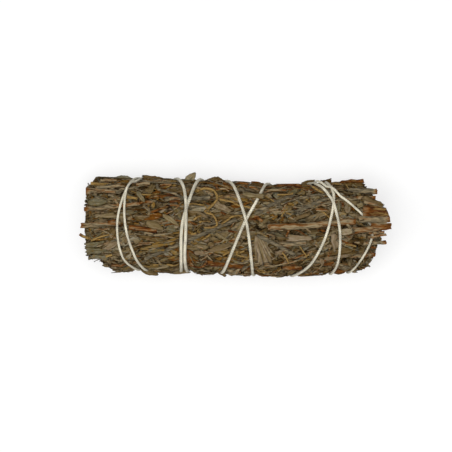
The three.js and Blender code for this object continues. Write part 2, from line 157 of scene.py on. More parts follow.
TAIL_TIPS = [(24.5, 133), (38, 131)]
TWINE_FULLNESS = [0.92, 0.98, 1.1, 0.76, 0.8, 1.12, 1.0, 0.92, 0.74]
PLY_COUNT = 3
PLY_RADIUS = 0.255 * MM
PLY_OFFSET = 0.26 * MM
PLY_PITCH = 2.3 * MM
PLY_SIDES = 6
PLY_STEP = 0.32 * MM
FUZZ_LENGTH = 0.9 * MM
FUZZ_WIDTH = 0.03 * MM
FUZZ_DENSITY = 0.32 / MM**2
GROOVE_SHARE = 0.4
TABLE_GAP = 0.02 * MM
SPAN_SAMPLES = 40
DIP_LEAST = 0.1 * MM
OWN_STEPS = 16
KNOT_POINTS = 60
SIDE_SHADE_LEVELS = (16 * MM, 28 * MM)
TWINE_COLOURS = {"groove_shade": "#5b533d", "cotton": "#b1a98e", "ply_light": "#f9f2dc"}


def smooth_line(knots, step):
    """Evenly spaced points on a centripetal Catmull-Rom curve through the knots."""
    knots = np.array(knots, float)
    ends = [2 * knots[0] - knots[1]], [2 * knots[-1] - knots[-2]]
    padded = np.concatenate([ends[0], knots, ends[1]])
    shares = np.linspace(0, 1, SPAN_SAMPLES, endpoint=False)[:, None]
    dense = []
    for a, b, c, d in zip(padded, padded[1:], padded[2:], padded[3:]):
        before, here, after = (max(np.linalg.norm(q - p), 1e-9) ** 0.5 for p, q in ((a, b), (b, c), (c, d)))
        leave = ((b - a) / before - (c - a) / (before + here) + (c - b) / here) * here
        arrive = ((c - b) / here - (d - b) / (here + after) + (d - c) / after) * here
        square, cube = shares**2, shares**3
        dense.append(
            (2 * cube - 3 * square + 1) * b
            + (cube - 2 * square + shares) * leave
            + (3 * square - 2 * cube) * c
            + (cube - square) * arrive
        )
    dense = np.concatenate([*dense, knots[-1:]])
    run = np.concatenate([[0], np.cumsum(np.linalg.norm(np.diff(dense, axis=0), axis=1))])
    marks = np.linspace(0, run[-1], max(2, round(run[-1] / step)) + 1)
    return np.stack([np.interp(marks, run, dense[:, i]) for i in range(dense.shape[1])], axis=1)


def twine_route():
    """The twine's centreline, lifted clear of every earlier turn that it crosses, and its fullness."""
    passes = [[(x, angle, 0) for x, angle in zip(row, PASS_ANGLES)] for row in TWINE_PASSES] + [END_PASS]
    knots = [(*TAIL_TIPS[0], 0), (*KNOT, 0)]
    for turn, row in enumerate(passes):
        knots += [(x, angle - 360 * turn, sink) for x, angle, sink in row]
        arrives = passes[turn + 1][0][0] if turn + 1 < len(passes) else KNOT[0]
        under = row[-1][0] + UNDER_SHARE * (arrives - row[-1][0])
        knots.append((under, -180 - 360 * turn, 0))
    knots += [(x, angle - 360 * len(passes), 0) for x, angle in (KNOT, TAIL_TIPS[1])]
    flat = [(x * MM, math.radians(angle) * BODY_RADIUS, sink * MM) for x, angle, sink in knots]
    line = smooth_line(flat, TWINE_STEP)
    pitch = TWINE_DIAMETER + CROSSING_CLEARANCE
    circle = 2 * math.pi * BODY_RADIUS
    radii, climbs = [], []
    for i, (x, y, sink) in enumerate(line):
        climbs.append((DIP_SLOPE if sink > DIP_LEAST else TWINE_SLOPE) * TWINE_STEP)
        radius = surface_radius(x, math.pi / 2 - y / BODY_RADIUS) + TWINE_LIFT - sink
        if i:
            radius = max(radius, radii[-1] - climbs[-1])
        earlier = line[: max(0, i - OWN_STEPS)]
        around = np.abs(y - earlier[:, 1]) % circle
        apart = np.hypot(x - earlier[:, 0], np.minimum(around, circle - around))
        for k in np.flatnonzero(apart < pitch):
            radius = max(radius, radii[k] + math.sqrt(pitch**2 - apart[k] ** 2))
        radii.append(radius)
        for k in range(i - 1, -1, -1):
            low = radii[k + 1] - climbs[k + 1]
            if radii[k] >= low:
                break
            radii[k] = low
    angles = math.pi / 2 - line[:, 1] / BODY_RADIUS
    radii = np.array(radii)
    across = np.stack([line[:, 0], radii * np.cos(angles), radii * np.sin(angles)], axis=1)
    turns = 0.5 - line[:, 1] / circle
    return across + np.array(AXIS), np.interp(turns, np.arange(len(TWINE_FULLNESS)) + 0.5, TWINE_FULLNESS)


def knot_route():
    """A small closed overhand loop, where both ends of the twine are tied together."""
    angle = math.radians(90 - KNOT[1])
    middle = on_bundle(KNOT[0] * MM, angle, TWINE_LIFT + KNOT_SIZE)
    outward = Vector((0, math.cos(angle), math.sin(angle)))
    side = outward.cross(Vector((1, 0, 0)))
    route = []
    for t in np.linspace(0, 2 * math.pi, KNOT_POINTS):
        reach = math.sin(t) + 2 * math.sin(2 * t)
        rise = math.cos(t) - 2 * math.cos(2 * t)
        offset = Vector((reach, 0, 0)) + side * rise - outward * math.sin(3 * t)
        route.append(middle + offset * KNOT_SIZE)
    return np.array(route)


def add_node(tree, kind, values=None, **settings):
    """Adds a node, sets its settings, and gives each input a value or a link."""
    made = tree.nodes.new(kind)
    for name, value in settings.items():
        setattr(made, name, value)
    for key, value in (values or {}).items():
        if isinstance(value, bpy.types.NodeSocket):
            tree.links.new(value, made.inputs[key])
        else:
            made.inputs[key].default_value = value
    return made


def linear(colour):
    """An sRGB hex colour as linear values with full alpha."""
    parts = [int(colour[i : i + 2], 16) / 255 for i in (1, 3, 5)]
    return (*(p / 12.92 if p <= 0.04045 else ((p + 0.055) / 1.055) ** 2.4 for p in parts), 1)


def set_ramp(node, colours):
    """Spreads hex colours evenly over a colour ramp."""
    stops = node.color_ramp.elements
    for i, colour in enumerate(colours[1:-1], 1):
        stops.new(i / (len(colours) - 1)).color = linear(colour)
    stops[0].color = linear(colours[0])
    stops[len(colours) - 1].color = linear(colours[-1])


def new_geometry_tree(name, inputs):
    """An empty Geometry Nodes tree with a geometry input and output and the named inputs."""
    tree = bpy.data.node_groups.new(name, "GeometryNodeTree")
    tree.interface.new_socket("Geometry", in_out="INPUT", socket_type="NodeSocketGeometry")
    for label, kind in inputs.items():
        tree.interface.new_socket(label, in_out="INPUT", socket_type=f"NodeSocket{kind}")
    tree.interface.new_socket("Geometry", in_out="OUTPUT", socket_type="NodeSocketGeometry")
    return tree, {socket.name: socket for socket in tree.nodes.new("NodeGroupInput").outputs}


def grow(source, tree, name, **values):
    """Runs a tree on a source object, keeps the result as a plain mesh object, and removes the source."""
    modifier = source.modifiers.new("grow", "NODES")
    modifier.node_group = tree
    keys = {item.name: item.identifier for item in tree.interface.items_tree if item.in_out == "INPUT"}
    for label, value in values.items():
        modifier[keys[label.replace("_", " ")]] = value
    bpy.context.view_layer.update()
    graph = bpy.context.evaluated_depsgraph_get()
    mesh = bpy.data.meshes.new_from_object(source.evaluated_get(graph))
    source.modifiers.remove(modifier)
    bpy.data.objects.remove(source)
    mesh.name = name
    piece = bpy.data.objects.new(name, mesh)
    bpy.context.scene.collection.objects.link(piece)
    return piece


def line_object(lines, widths):
    """A curve object with one open poly spline for each line of points, and its width at each point."""
    curve = bpy.data.curves.new("line", "CURVE")
    curve.dimensions = "3D"
    for points, width in zip(lines, widths):
        spline = curve.splines.new("POLY")
        spline.points.add(len(points) - 1)
        spline.points.foreach_set("co", np.column_stack([points, np.ones(len(points))]).ravel())
        spline.points.foreach_set("radius", np.broadcast_to(width, len(points)).astype(float))
    made = bpy.data.objects.new("line", curve)
    bpy.context.scene.collection.objects.link(made)
    return made


def search_over(points):
    """A search tree over points."""
    found = kdtree.KDTree(len(points))
    for i, point in enumerate(points):
        found.insert(point, i)
    found.balance()
    return found


# Spun cotton: matt, pale cream, with random smudges, a soft bloom of fibre ends, and painted light and shade:
# painted shade in the grooves between its plies and lower down the stick's sides, and a painted highlight on
# each ply's crown.
cotton = bpy.data.materials.new("spun_cotton")
cotton.use_nodes = True
tree = cotton.node_tree
shader = tree.nodes["Principled BSDF"]
place = add_node(tree, "ShaderNodeTexCoord").outputs["Object"]
strands = add_node(tree, "ShaderNodeTexNoise", {"Vector": place, "Scale": 1 / (0.35 * MM), "Detail": 3})
smudges = add_node(tree, "ShaderNodeTexNoise", {"Vector": place, "Scale": 1 / (4 * MM), "Detail": 3})
# This value runs from the grooves between the plies to their crowns: painted shade in the grooves, painted
# highlight on the crowns.
ply_light = add_node(tree, "ShaderNodeAttribute", attribute_name="ply_light").outputs["Fac"]
shade = add_node(tree, "ShaderNodeValToRGB", {"Fac": ply_light})
set_ramp(shade, [TWINE_COLOURS["groove_shade"], TWINE_COLOURS["cotton"], TWINE_COLOURS["ply_light"]])
soil = add_node(
    tree,
    "ShaderNodeMapRange",
    {"Value": smudges.outputs["Fac"], "From Min": 0.3, "From Max": 0.7, "To Min": 0.62, "To Max": 1.08},
)
# Painted shade: the cotton is darker the lower it lies down the stick's sides, as if lit from above; the
# smudges alone are real soiling.
level = add_node(tree, "ShaderNodeSeparateXYZ", {0: place}).outputs["Z"]
side_shade = add_node(
    tree,
    "ShaderNodeMapRange",
    {"Value": level, "From Min": SIDE_SHADE_LEVELS[0], "From Max": SIDE_SHADE_LEVELS[1], "To Min": 0.72, "To Max": 1.0},
)
smudge_and_side_shade = add_node(
    tree, "ShaderNodeMath", {0: soil.outputs["Result"], 1: side_shade.outputs["Result"]}, operation="MULTIPLY"
)
colour = add_node(
    tree, "ShaderNodeVectorMath", {0: shade.outputs["Color"], 1: smudge_and_side_shade.outputs[0]}, operation="MULTIPLY"
)
tree.links.new(colour.outputs["Vector"], shader.inputs["Base Color"])
bump = add_node(
    tree, "ShaderNodeBump", {"Height": strands.outputs["Fac"], "Strength": 0.35, "Distance": 0.1 * MM}
)
tree.links.new(bump.outputs["Normal"], shader.inputs["Normal"])
shader.inputs["Roughness"].default_value = 0.9
shader.inputs["Specular IOR Level"].default_value = 0.15
shader.inputs["Sheen Weight"].default_value = 0.05

# The ply tree carries each ply round the centreline as a helix and scatters loose fibre ends over it.
tree, given = new_geometry_tree(
    "twisted_twine",
    {"Ply Radius": "Float", "Ply Offset": "Float", "Ply Pitch": "Float", "Fuzz Density": "Float"},
)
line = add_node(
    tree, "GeometryNodeResampleCurve", {"Curve": given["Geometry"], "Length": PLY_STEP}, mode="LENGTH"
)
along = add_node(tree, "GeometryNodeSplineParameter").outputs["Length"]
tangent = add_node(tree, "GeometryNodeInputTangent").outputs["Tangent"]
normal = add_node(tree, "GeometryNodeInputNormal").outputs["Normal"]
fullness = add_node(tree, "GeometryNodeInputRadius").outputs["Radius"]
beside = add_node(tree, "ShaderNodeVectorMath", {0: tangent, 1: normal}, operation="CROSS_PRODUCT")
turns = add_node(tree, "ShaderNodeMath", {0: along, 1: given["Ply Pitch"]}, operation="DIVIDE")
spread = add_node(tree, "ShaderNodeMath", {0: given["Ply Offset"], 1: fullness}, operation="MULTIPLY")
profile = add_node(
    tree, "GeometryNodeCurvePrimitiveCircle", {"Resolution": PLY_SIDES, "Radius": given["Ply Radius"]}
)
plies = add_node(tree, "GeometryNodeJoinGeometry")
for ply in range(PLY_COUNT):
    share = add_node(tree, "ShaderNodeMath", {0: turns.outputs[0], 1: ply / PLY_COUNT}, operation="ADD")
    phase = add_node(tree, "ShaderNodeMath", {0: share.outputs[0], 1: 2 * math.pi}, operation="MULTIPLY")
    cosine = add_node(tree, "ShaderNodeMath", {0: phase.outputs[0]}, operation="COSINE")
    sine = add_node(tree, "ShaderNodeMath", {0: phase.outputs[0]}, operation="SINE")
    out = add_node(tree, "ShaderNodeVectorMath", {0: normal, "Scale": cosine.outputs[0]}, operation="SCALE")
    side = add_node(
        tree, "ShaderNodeVectorMath", {0: beside.outputs[0], "Scale": sine.outputs[0]}, operation="SCALE"
    )
    around = add_node(tree, "ShaderNodeVectorMath", {0: out.outputs[0], 1: side.outputs[0]}, operation="ADD")
    shift = add_node(
        tree, "ShaderNodeVectorMath", {0: around.outputs[0], "Scale": spread.outputs[0]}, operation="SCALE"
    )
    moved = add_node(
        tree, "GeometryNodeSetPosition", {"Geometry": line.outputs["Curve"], "Offset": shift.outputs[0]}
    )
    tube = add_node(
        tree,
        "GeometryNodeCurveToMesh",
        {
            "Curve": moved.outputs["Geometry"],
            "Profile Curve": profile.outputs["Curve"],
            "Scale": fullness,
            "Fill Caps": True,
        },
    )
    tree.links.new(tube.outputs["Mesh"], plies.inputs["Geometry"])
sown = add_node(
    tree,
    "GeometryNodeDistributePointsOnFaces",
    {"Mesh": plies.outputs["Geometry"], "Density": given["Fuzz Density"], "Seed": 5},
)
tilt = add_node(
    tree,
    "FunctionNodeRandomValue",
    {0: (-1.3, -1.3, -3.1), 1: (1.3, 1.3, 3.1), "Seed": 2},
    data_type="FLOAT_VECTOR",
)
turned = add_node(
    tree,
    "FunctionNodeRotateRotation",
    {"Rotation": sown.outputs["Rotation"], "Rotate By": tilt.outputs[0]},
    rotation_space="LOCAL",
)
fibre = add_node(
    tree,
    "GeometryNodeMeshCone",
    {"Vertices": 3, "Radius Top": 0.0, "Radius Bottom": FUZZ_WIDTH, "Depth": FUZZ_LENGTH},
    fill_type="NONE",
)
hairs = add_node(
    tree,
    "GeometryNodeInstanceOnPoints",
    {
        "Points": sown.outputs["Points"],
        "Instance": fibre.outputs["Mesh"],
        "Rotation": turned.outputs["Rotation"],
    },
)
hairs = add_node(tree, "GeometryNodeRealizeInstances", {"Geometry": hairs.outputs["Instances"]})
whole = add_node(tree, "GeometryNodeJoinGeometry")
tree.links.new(plies.outputs["Geometry"], whole.inputs["Geometry"])
tree.links.new(hairs.outputs["Geometry"], whole.inputs["Geometry"])
smooth = add_node(tree, "GeometryNodeSetShadeSmooth", {"Geometry": whole.outputs["Geometry"]})
dressed = add_node(
    tree, "GeometryNodeSetMaterial", {"Geometry": smooth.outputs["Geometry"], "Material": cotton}
)
add_node(tree, "NodeGroupOutput", {0: dressed.outputs["Geometry"]})

twine_line, fullness = twine_route()
knot_line = knot_route()
twine = grow(
    line_object([twine_line, knot_line], [fullness, TWINE_FULLNESS[-1]]),
    tree,
    "twisted_twine",
    Ply_Radius=PLY_RADIUS,
    Ply_Offset=PLY_OFFSET,
    Ply_Pitch=PLY_PITCH,
    Fuzz_Density=FUZZ_DENSITY,
)
twine_points = [*zip(twine_line, fullness), *((point, TWINE_FULLNESS[-1]) for point in knot_line)]
centres = search_over([point for point, _ in twine_points])
heights = []
for vertex in twine.data.vertices:
    _, i, gap = centres.find(vertex.co)
    heights.append(gap / (twine_points[i][1] * (PLY_RADIUS + PLY_OFFSET)))
    vertex.co.z = max(vertex.co.z, TABLE_GAP)
# How far each point stands out from the twine's centre, used for painted shade in the ply grooves and a
# painted highlight on the crowns.
ply_light = twine.data.attributes.new("ply_light", "FLOAT", "POINT")
ply_light.data.foreach_set("value", np.clip((np.array(heights) - GROOVE_SHARE) / (1 - GROOVE_SHARE), 0, 1))
shift_by_bow(twine.data, 1)
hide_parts("twine")
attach(twine, "root")

# Bare stems: cut lengths of woody sagebrush stem, some grey and weathered, some peeled to orange-brown wood.
# Each follows the line of its solid, with ridged bark and a slight wobble. Its cut ends are stained with
# rust, and its other ends go down among the leaves.
STEM_SIDES = 5
BARK_SIDES = 14
BARK_STEP = 0.5 * MM
BARK_RIDGE = 0.5 * MM
BARK_GRAIN = 0.45 * MM
STEM_STEP = 1.0 * MM
STEM_TAPER = 0.86
STEM_WOBBLE = 0.07 * MM
STEM_RISE = 0.6 * MM
LOOSE_RISE = 1.0 * MM
MOST_PROUD = 0.3 * MM
STEM_SINK = 1.7 * MM
SINK_LENGTH = 3.5 * MM
END_NUDGE = 0.01
PRESSING_SINK = 0.5
END_SPLINTER = 1.0 * MM
SPRING_SLOPE = 0.7
WELD_GAP = 0.01 * MM
RUST_REACH = 1.9 * MM
RUST_TONE = 0.62
UPPER_STEMS = 23
BARK_TONES = {
    "grey": -0.05, "olive": 0.08, "tan": 0.2, "amber": 0.34, "orange": 0.5, "red": 0.66, "golden": 1.1
}
BARK_COLOURS = ["#625a48", "#958464", "#7a4a18", "#4a2206", "#997b46"]
BARK_CRACK = "#2a1807"
BARK_BLOOM = "#b39f7c"
CUT_COLOURS = ["#4a2a0f", "#6e4318", "#93683a"]
STEM_BARKS = (
    "amber tan amber red olive amber tan tan red tan tan tan golden golden orange red orange tan "
    "grey grey grey grey orange tan orange grey red"
).split()
# Which ends of each stem are cut. A loose stem's ends stay on top without a cut, as a joined one's left end
# does.
STEM_CUTS = (
    "right joined both right right right right right right left left left left loose loose loose loose loose "
    "loose loose loose loose none none right none right"
).split()

# Sagebrush bark: dry and matt, split along the stem into fine fibres, with dark cracked streaks, and pale
# weathered ones where it hasn't peeled.
bark = bpy.data.materials.new("sagebrush_bark")
bark.use_nodes = True
tree = bark.node_tree
shader = tree.nodes["Principled BSDF"]
place = add_node(tree, "ShaderNodeTexCoord").outputs["Object"]
drawn = add_node(tree, "ShaderNodeMapping", {"Vector": place, "Scale": (0.16, 1, 1)})
fibres = add_node(
    tree,
    "ShaderNodeTexNoise",
    {"Vector": drawn.outputs[0], "Scale": 1 / BARK_GRAIN, "Detail": 5, "Roughness": 0.65},
)
patches = add_node(
    tree,
    "ShaderNodeTexNoise",
    {"Vector": drawn.outputs[0], "Scale": 1 / (1.1 * MM), "Detail": 4, "Roughness": 0.6},
)
tone = add_node(tree, "ShaderNodeAttribute", attribute_name="tone").outputs["Fac"]
stain = add_node(
    tree,
    "ShaderNodeMapRange",
    {"Value": patches.outputs["Fac"], "From Min": 0.4, "From Max": 0.62, "To Min": -0.16, "To Max": 0.25},
)
shifted = add_node(tree, "ShaderNodeMath", {0: tone, 1: stain.outputs["Result"]}, operation="ADD")
wood = add_node(tree, "ShaderNodeValToRGB", {"Fac": shifted.outputs[0]})
set_ramp(wood, BARK_COLOURS)
crack = add_node(
    tree,
    "ShaderNodeMapRange",
    {"Value": fibres.outputs["Fac"], "From Min": 0.36, "From Max": 0.5, "To Min": 0.92, "To Max": 0},
)
cracked = add_node(
    tree,
    "ShaderNodeMix",
    {"Factor": crack.outputs["Result"], 6: wood.outputs["Color"], 7: linear(BARK_CRACK)},
    data_type="RGBA",
)
bloom = add_node(
    tree,
    "ShaderNodeMapRange",
    {"Value": fibres.outputs["Fac"], "From Min": 0.55, "From Max": 0.75, "To Min": 0, "To Max": 0.6},
)
paleness = add_node(
    tree,
    "ShaderNodeMapRange",
    {"Value": tone, "From Min": 0.3, "From Max": 0.6, "To Min": 1.0, "To Max": 0.25},
)
bloom = add_node(
    tree, "ShaderNodeMath", {0: bloom.outputs["Result"], 1: paleness.outputs["Result"]}, operation="MULTIPLY"
)
weathered = add_node(
    tree,
    "ShaderNodeMix",
    {"Factor": bloom.outputs[0], 6: cracked.outputs[2], 7: linear(BARK_BLOOM)},
    data_type="RGBA",
)
cut = add_node(tree, "ShaderNodeAttribute", attribute_name="cut").outputs["Fac"]
pores = add_node(tree, "ShaderNodeTexNoise", {"Vector": place, "Scale": 1 / (0.5 * MM), "Detail": 3})
pith = add_node(tree, "ShaderNodeMapRange", {"Value": pores.outputs["Fac"], "From Min": 0.3, "From Max": 0.7})
sawn_wood = add_node(tree, "ShaderNodeValToRGB", {"Fac": pith.outputs["Result"]})
set_ramp(sawn_wood, CUT_COLOURS)
sawn = add_node(
    tree,
    "ShaderNodeMix",
    {"Factor": cut, 6: weathered.outputs[2], 7: sawn_wood.outputs["Color"]},
    data_type="RGBA",
)
tree.links.new(sawn.outputs[2], shader.inputs["Base Color"])
bump = add_node(
    tree, "ShaderNodeBump", {"Height": fibres.outputs["Fac"], "Strength": 0.8, "Distance": 0.25 * MM}
)
tree.links.new(bump.outputs["Normal"], shader.inputs["Normal"])
shader.inputs["Roughness"].default_value = 0.8
shader.inputs["Specular IOR Level"].default_value = 0.1

# The stem tree sweeps a round along each line, swells and ridges it, and splinters and marks its two ends.
stem_tree, given = new_geometry_tree(
    "bark_stem",
    {
        "Taper": "Float",
        "Ridge": "Float",
        "Tone": "Float",
        "Left Cut": "Float",
        "Right Cut": "Float",
        "Sides": "Int",
    },
)
tree = stem_tree
line = add_node(
    tree, "GeometryNodeResampleCurve", {"Curve": given["Geometry"], "Length": BARK_STEP}, mode="LENGTH"
)
place = add_node(tree, "GeometryNodeSplineParameter")
share, along = place.outputs["Factor"], place.outputs["Length"]
line = add_node(
    tree,
    "GeometryNodeStoreNamedAttribute",
    {"Geometry": line.outputs["Curve"], "Name": "run", "Value": share},
    data_type="FLOAT",
    domain="POINT",
)
total = add_node(tree, "GeometryNodeSplineLength").outputs["Length"]
to_right = add_node(tree, "ShaderNodeMath", {0: total, 1: along}, operation="SUBTRACT").outputs[0]
rusts = [
    add_node(
        tree,
        "ShaderNodeMapRange",
        {"Value": gap, "From Min": 0.0, "From Max": RUST_REACH, "To Min": given[label], "To Max": 0.0},
    ).outputs["Result"]
    for gap, label in ((along, "Left Cut"), (to_right, "Right Cut"))
]
rust = add_node(tree, "ShaderNodeMath", {0: rusts[0], 1: rusts[1]}, operation="MAXIMUM").outputs[0]
line = add_node(
    tree,
    "GeometryNodeStoreNamedAttribute",
    {"Geometry": line.outputs["Geometry"], "Name": "rust", "Value": rust},
    data_type="FLOAT",
    domain="POINT",
)
narrow = add_node(tree, "ShaderNodeMapRange", {"Value": share, "To Min": 1.0, "To Max": given["Taper"]})
spot = add_node(tree, "GeometryNodeInputPosition").outputs["Position"]
lumps = add_node(tree, "ShaderNodeTexNoise", {"Vector": spot, "Scale": 1 / (3 * MM), "Detail": 2})
swell = add_node(
    tree,
    "ShaderNodeMapRange",
    {"Value": lumps.outputs["Fac"], "From Min": 0.25, "From Max": 0.75, "To Min": 0.86, "To Max": 1.12},
)
radius = add_node(tree, "GeometryNodeInputRadius").outputs["Radius"]
girth = add_node(tree, "ShaderNodeMath", {0: narrow.outputs[0], 1: swell.outputs[0]}, operation="MULTIPLY")
girth = add_node(tree, "ShaderNodeMath", {0: girth.outputs[0], 1: radius}, operation="MULTIPLY")
profile = add_node(tree, "GeometryNodeCurvePrimitiveCircle", {"Resolution": given["Sides"], "Radius": 1.0})
tube = add_node(
    tree,
    "GeometryNodeCurveToMesh",
    {
        "Curve": line.outputs["Geometry"],
        "Profile Curve": profile.outputs["Curve"],
        "Scale": girth.outputs[0],
        "Fill Caps": True,
    },
)
drawn = add_node(tree, "ShaderNodeVectorMath", {0: spot, 1: (0.16, 1, 1)}, operation="MULTIPLY")
ridges = add_node(
    tree,
    "ShaderNodeTexNoise",
    {"Vector": drawn.outputs[0], "Scale": 1 / (0.8 * MM), "Detail": 3, "Roughness": 0.6},
)
height = add_node(tree, "ShaderNodeMath", {0: ridges.outputs["Fac"], 1: 0.5}, operation="SUBTRACT")
height = add_node(tree, "ShaderNodeMath", {0: height.outputs[0], 1: given["Ridge"]}, operation="MULTIPLY")
outward = add_node(tree, "GeometryNodeInputNormal").outputs["Normal"]
push = add_node(tree, "ShaderNodeVectorMath", {0: outward, "Scale": height.outputs[0]}, operation="SCALE")
run = add_node(
    tree, "GeometryNodeInputNamedAttribute", {"Name": "run"}, data_type="FLOAT"
).outputs["Attribute"]
from_middle = add_node(tree, "ShaderNodeMath", {0: run, 1: 0.5}, operation="SUBTRACT")
from_middle = add_node(tree, "ShaderNodeMath", {0: from_middle.outputs[0]}, operation="ABSOLUTE")
is_tip = add_node(tree, "ShaderNodeMath", {0: from_middle.outputs[0], 1: 0.4999}, operation="GREATER_THAN")
splinter = add_node(tree, "ShaderNodeTexNoise", {"Vector": spot, "Scale": 1 / (0.7 * MM), "Detail": 1})
jut = add_node(tree, "ShaderNodeMath", {0: splinter.outputs["Fac"], 1: 0.5}, operation="SUBTRACT")
jut = add_node(tree, "ShaderNodeMath", {0: jut.outputs[0], 1: is_tip.outputs[0]}, operation="MULTIPLY")
jut = add_node(tree, "ShaderNodeMath", {0: jut.outputs[0], 1: END_SPLINTER}, operation="MULTIPLY")
jut = add_node(tree, "ShaderNodeCombineXYZ", {0: jut.outputs[0]})
push = add_node(tree, "ShaderNodeVectorMath", {0: push.outputs[0], 1: jut.outputs[0]}, operation="ADD")
ridged = add_node(
    tree, "GeometryNodeSetPosition", {"Geometry": tube.outputs["Mesh"], "Offset": push.outputs[0]}
)
rust = add_node(
    tree, "GeometryNodeInputNamedAttribute", {"Name": "rust"}, data_type="FLOAT"
).outputs["Attribute"]
is_cut = add_node(tree, "ShaderNodeMath", {0: is_tip.outputs[0], 1: rust}, operation="MULTIPLY")
marked = add_node(
    tree,
    "GeometryNodeStoreNamedAttribute",
    {"Geometry": ridged.outputs["Geometry"], "Name": "cut", "Value": is_cut.outputs[0]},
    data_type="FLOAT",
    domain="POINT",
)
to_rust = add_node(tree, "ShaderNodeMath", {0: RUST_TONE, 1: given["Tone"]}, operation="SUBTRACT")
stained = add_node(
    tree, "ShaderNodeMath", {0: rust, 1: to_rust.outputs[0], 2: given["Tone"]}, operation="MULTIPLY_ADD"
)
toned = add_node(
    tree,
    "GeometryNodeStoreNamedAttribute",
    {"Geometry": marked.outputs["Geometry"], "Name": "tone", "Value": stained.outputs[0]},
    data_type="FLOAT",
    domain="POINT",
)
corners = add_node(tree, "GeometryNodeInputMeshFaceNeighbors").outputs["Vertex Count"]
is_side = add_node(
    tree, "FunctionNodeCompare", {2: corners, 3: 4}, data_type="INT", operation="LESS_EQUAL"
).outputs["Result"]
smooth = add_node(
    tree, "GeometryNodeSetShadeSmooth", {"Geometry": toned.outputs["Geometry"], "Shade Smooth": is_side}
)
dressed = add_node(
    tree, "GeometryNodeSetMaterial", {"Geometry": smooth.outputs["Geometry"], "Material": bark}
)
add_node(tree, "NodeGroupOutput", {0: dressed.outputs["Geometry"]})


def merged_copy(node):
    """A node's solid as a mesh of its own, with its loose triangles joined and the bow taken out of it."""
    shape = bmesh.new()
    shape.from_mesh(frame["nodes"][node].data)
    bmesh.ops.remove_doubles(shape, verts=shape.verts, dist=WELD_GAP)
    mesh = bpy.data.meshes.new("copy")
    shape.to_mesh(mesh)
    shape.free()
    shift_by_bow(mesh, -1)
    return mesh


def stem_line(node):
    """The ring centres of a stem's solid, from left to right, and its radius."""
    corners = sorted(tuple(v.co) for v in merged_copy(node).vertices)
    rings = np.array(corners).reshape(-1, STEM_SIDES, 3)
    centres = rings.mean(axis=1)
    return centres, np.linalg.norm(rings[0] - centres[0], axis=1).mean()


def under_twine(spot, radius, reach=TWINE_DIAMETER):
    """The spot, or the place that twine above it, or within the reach below it, presses a round to."""
    point, i, gap = twine_search.find(spot)
    arm, held = spot - AXIS, math.hypot(point.y - AXIS.y, point.z - AXIS.z)
    if held < math.hypot(arm.y, arm.z) - reach:
        return spot
    most = held - TWINE_DIAMETER / 2 - radius + SPRING_SLOPE * max(0, gap - TWINE_DIAMETER)
    squeeze = min(1, most / math.hypot(arm.y, arm.z))
    return AXIS + Vector((arm.x, arm.y * squeeze, arm.z * squeeze))


twine_search = search_over(twine_line)
chance = random.Random(11)
stem_points = []
for number, (kind, cuts) in enumerate(zip(STEM_BARKS, STEM_CUTS), 1):
    node = f"stem_{number:02d}"
    centres, radius = stem_line(node)
    line = smooth_line(centres, STEM_STEP)
    line[1:-1] += [[chance.gauss(0, STEM_WOBBLE) for _ in range(3)] for _ in line[1:-1]]
    left_cut, right_cut = cuts in ("left", "both"), cuts in ("right", "both", "joined")
    for k, spot in enumerate(line):
        gaps = [(k + END_NUDGE) * STEM_STEP, (len(line) - 1 - k + END_NUDGE) * STEM_STEP]
        shown = (left_cut or cuts in ("loose", "joined"), right_cut or cuts == "loose")
        sinks = [0 if held else max(0, 1 - gap / SINK_LENGTH) for gap, held in zip(gaps, shown)]
        arm = Vector((0, spot[1] - AXIS.y, spot[2] - AXIS.z))
        proud = arm.length - surface_radius(spot[0], math.atan2(arm.z, arm.y))
        rise = min(LOOSE_RISE if cuts == "loose" else STEM_RISE, max(0, MOST_PROUD - proud))
        rise -= STEM_SINK * max(sinks) ** 2
        outward = arm.normalized()
        if number <= UPPER_STEMS:
            spot[1] = turned_back(spot[0], spot[1])
            outward = (outward + Vector((0, 0, 1))).normalized()
        line[k] = under_twine(Vector(spot) + outward * rise, radius, 0)
        if max(sinks) < PRESSING_SINK:
            stem_points.append((line[k], radius))
    stem = grow(
        line_object([line], [radius]),
        stem_tree,
        f"bark_{node}",
        Taper=STEM_TAPER,
        Ridge=BARK_RIDGE,
        Tone=BARK_TONES[kind],
        Left_Cut=float(left_cut),
        Right_Cut=float(right_cut),
        Sides=BARK_SIDES,
    )
    shift_by_bow(stem.data, 1)
    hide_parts(node)
    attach(stem, "root")

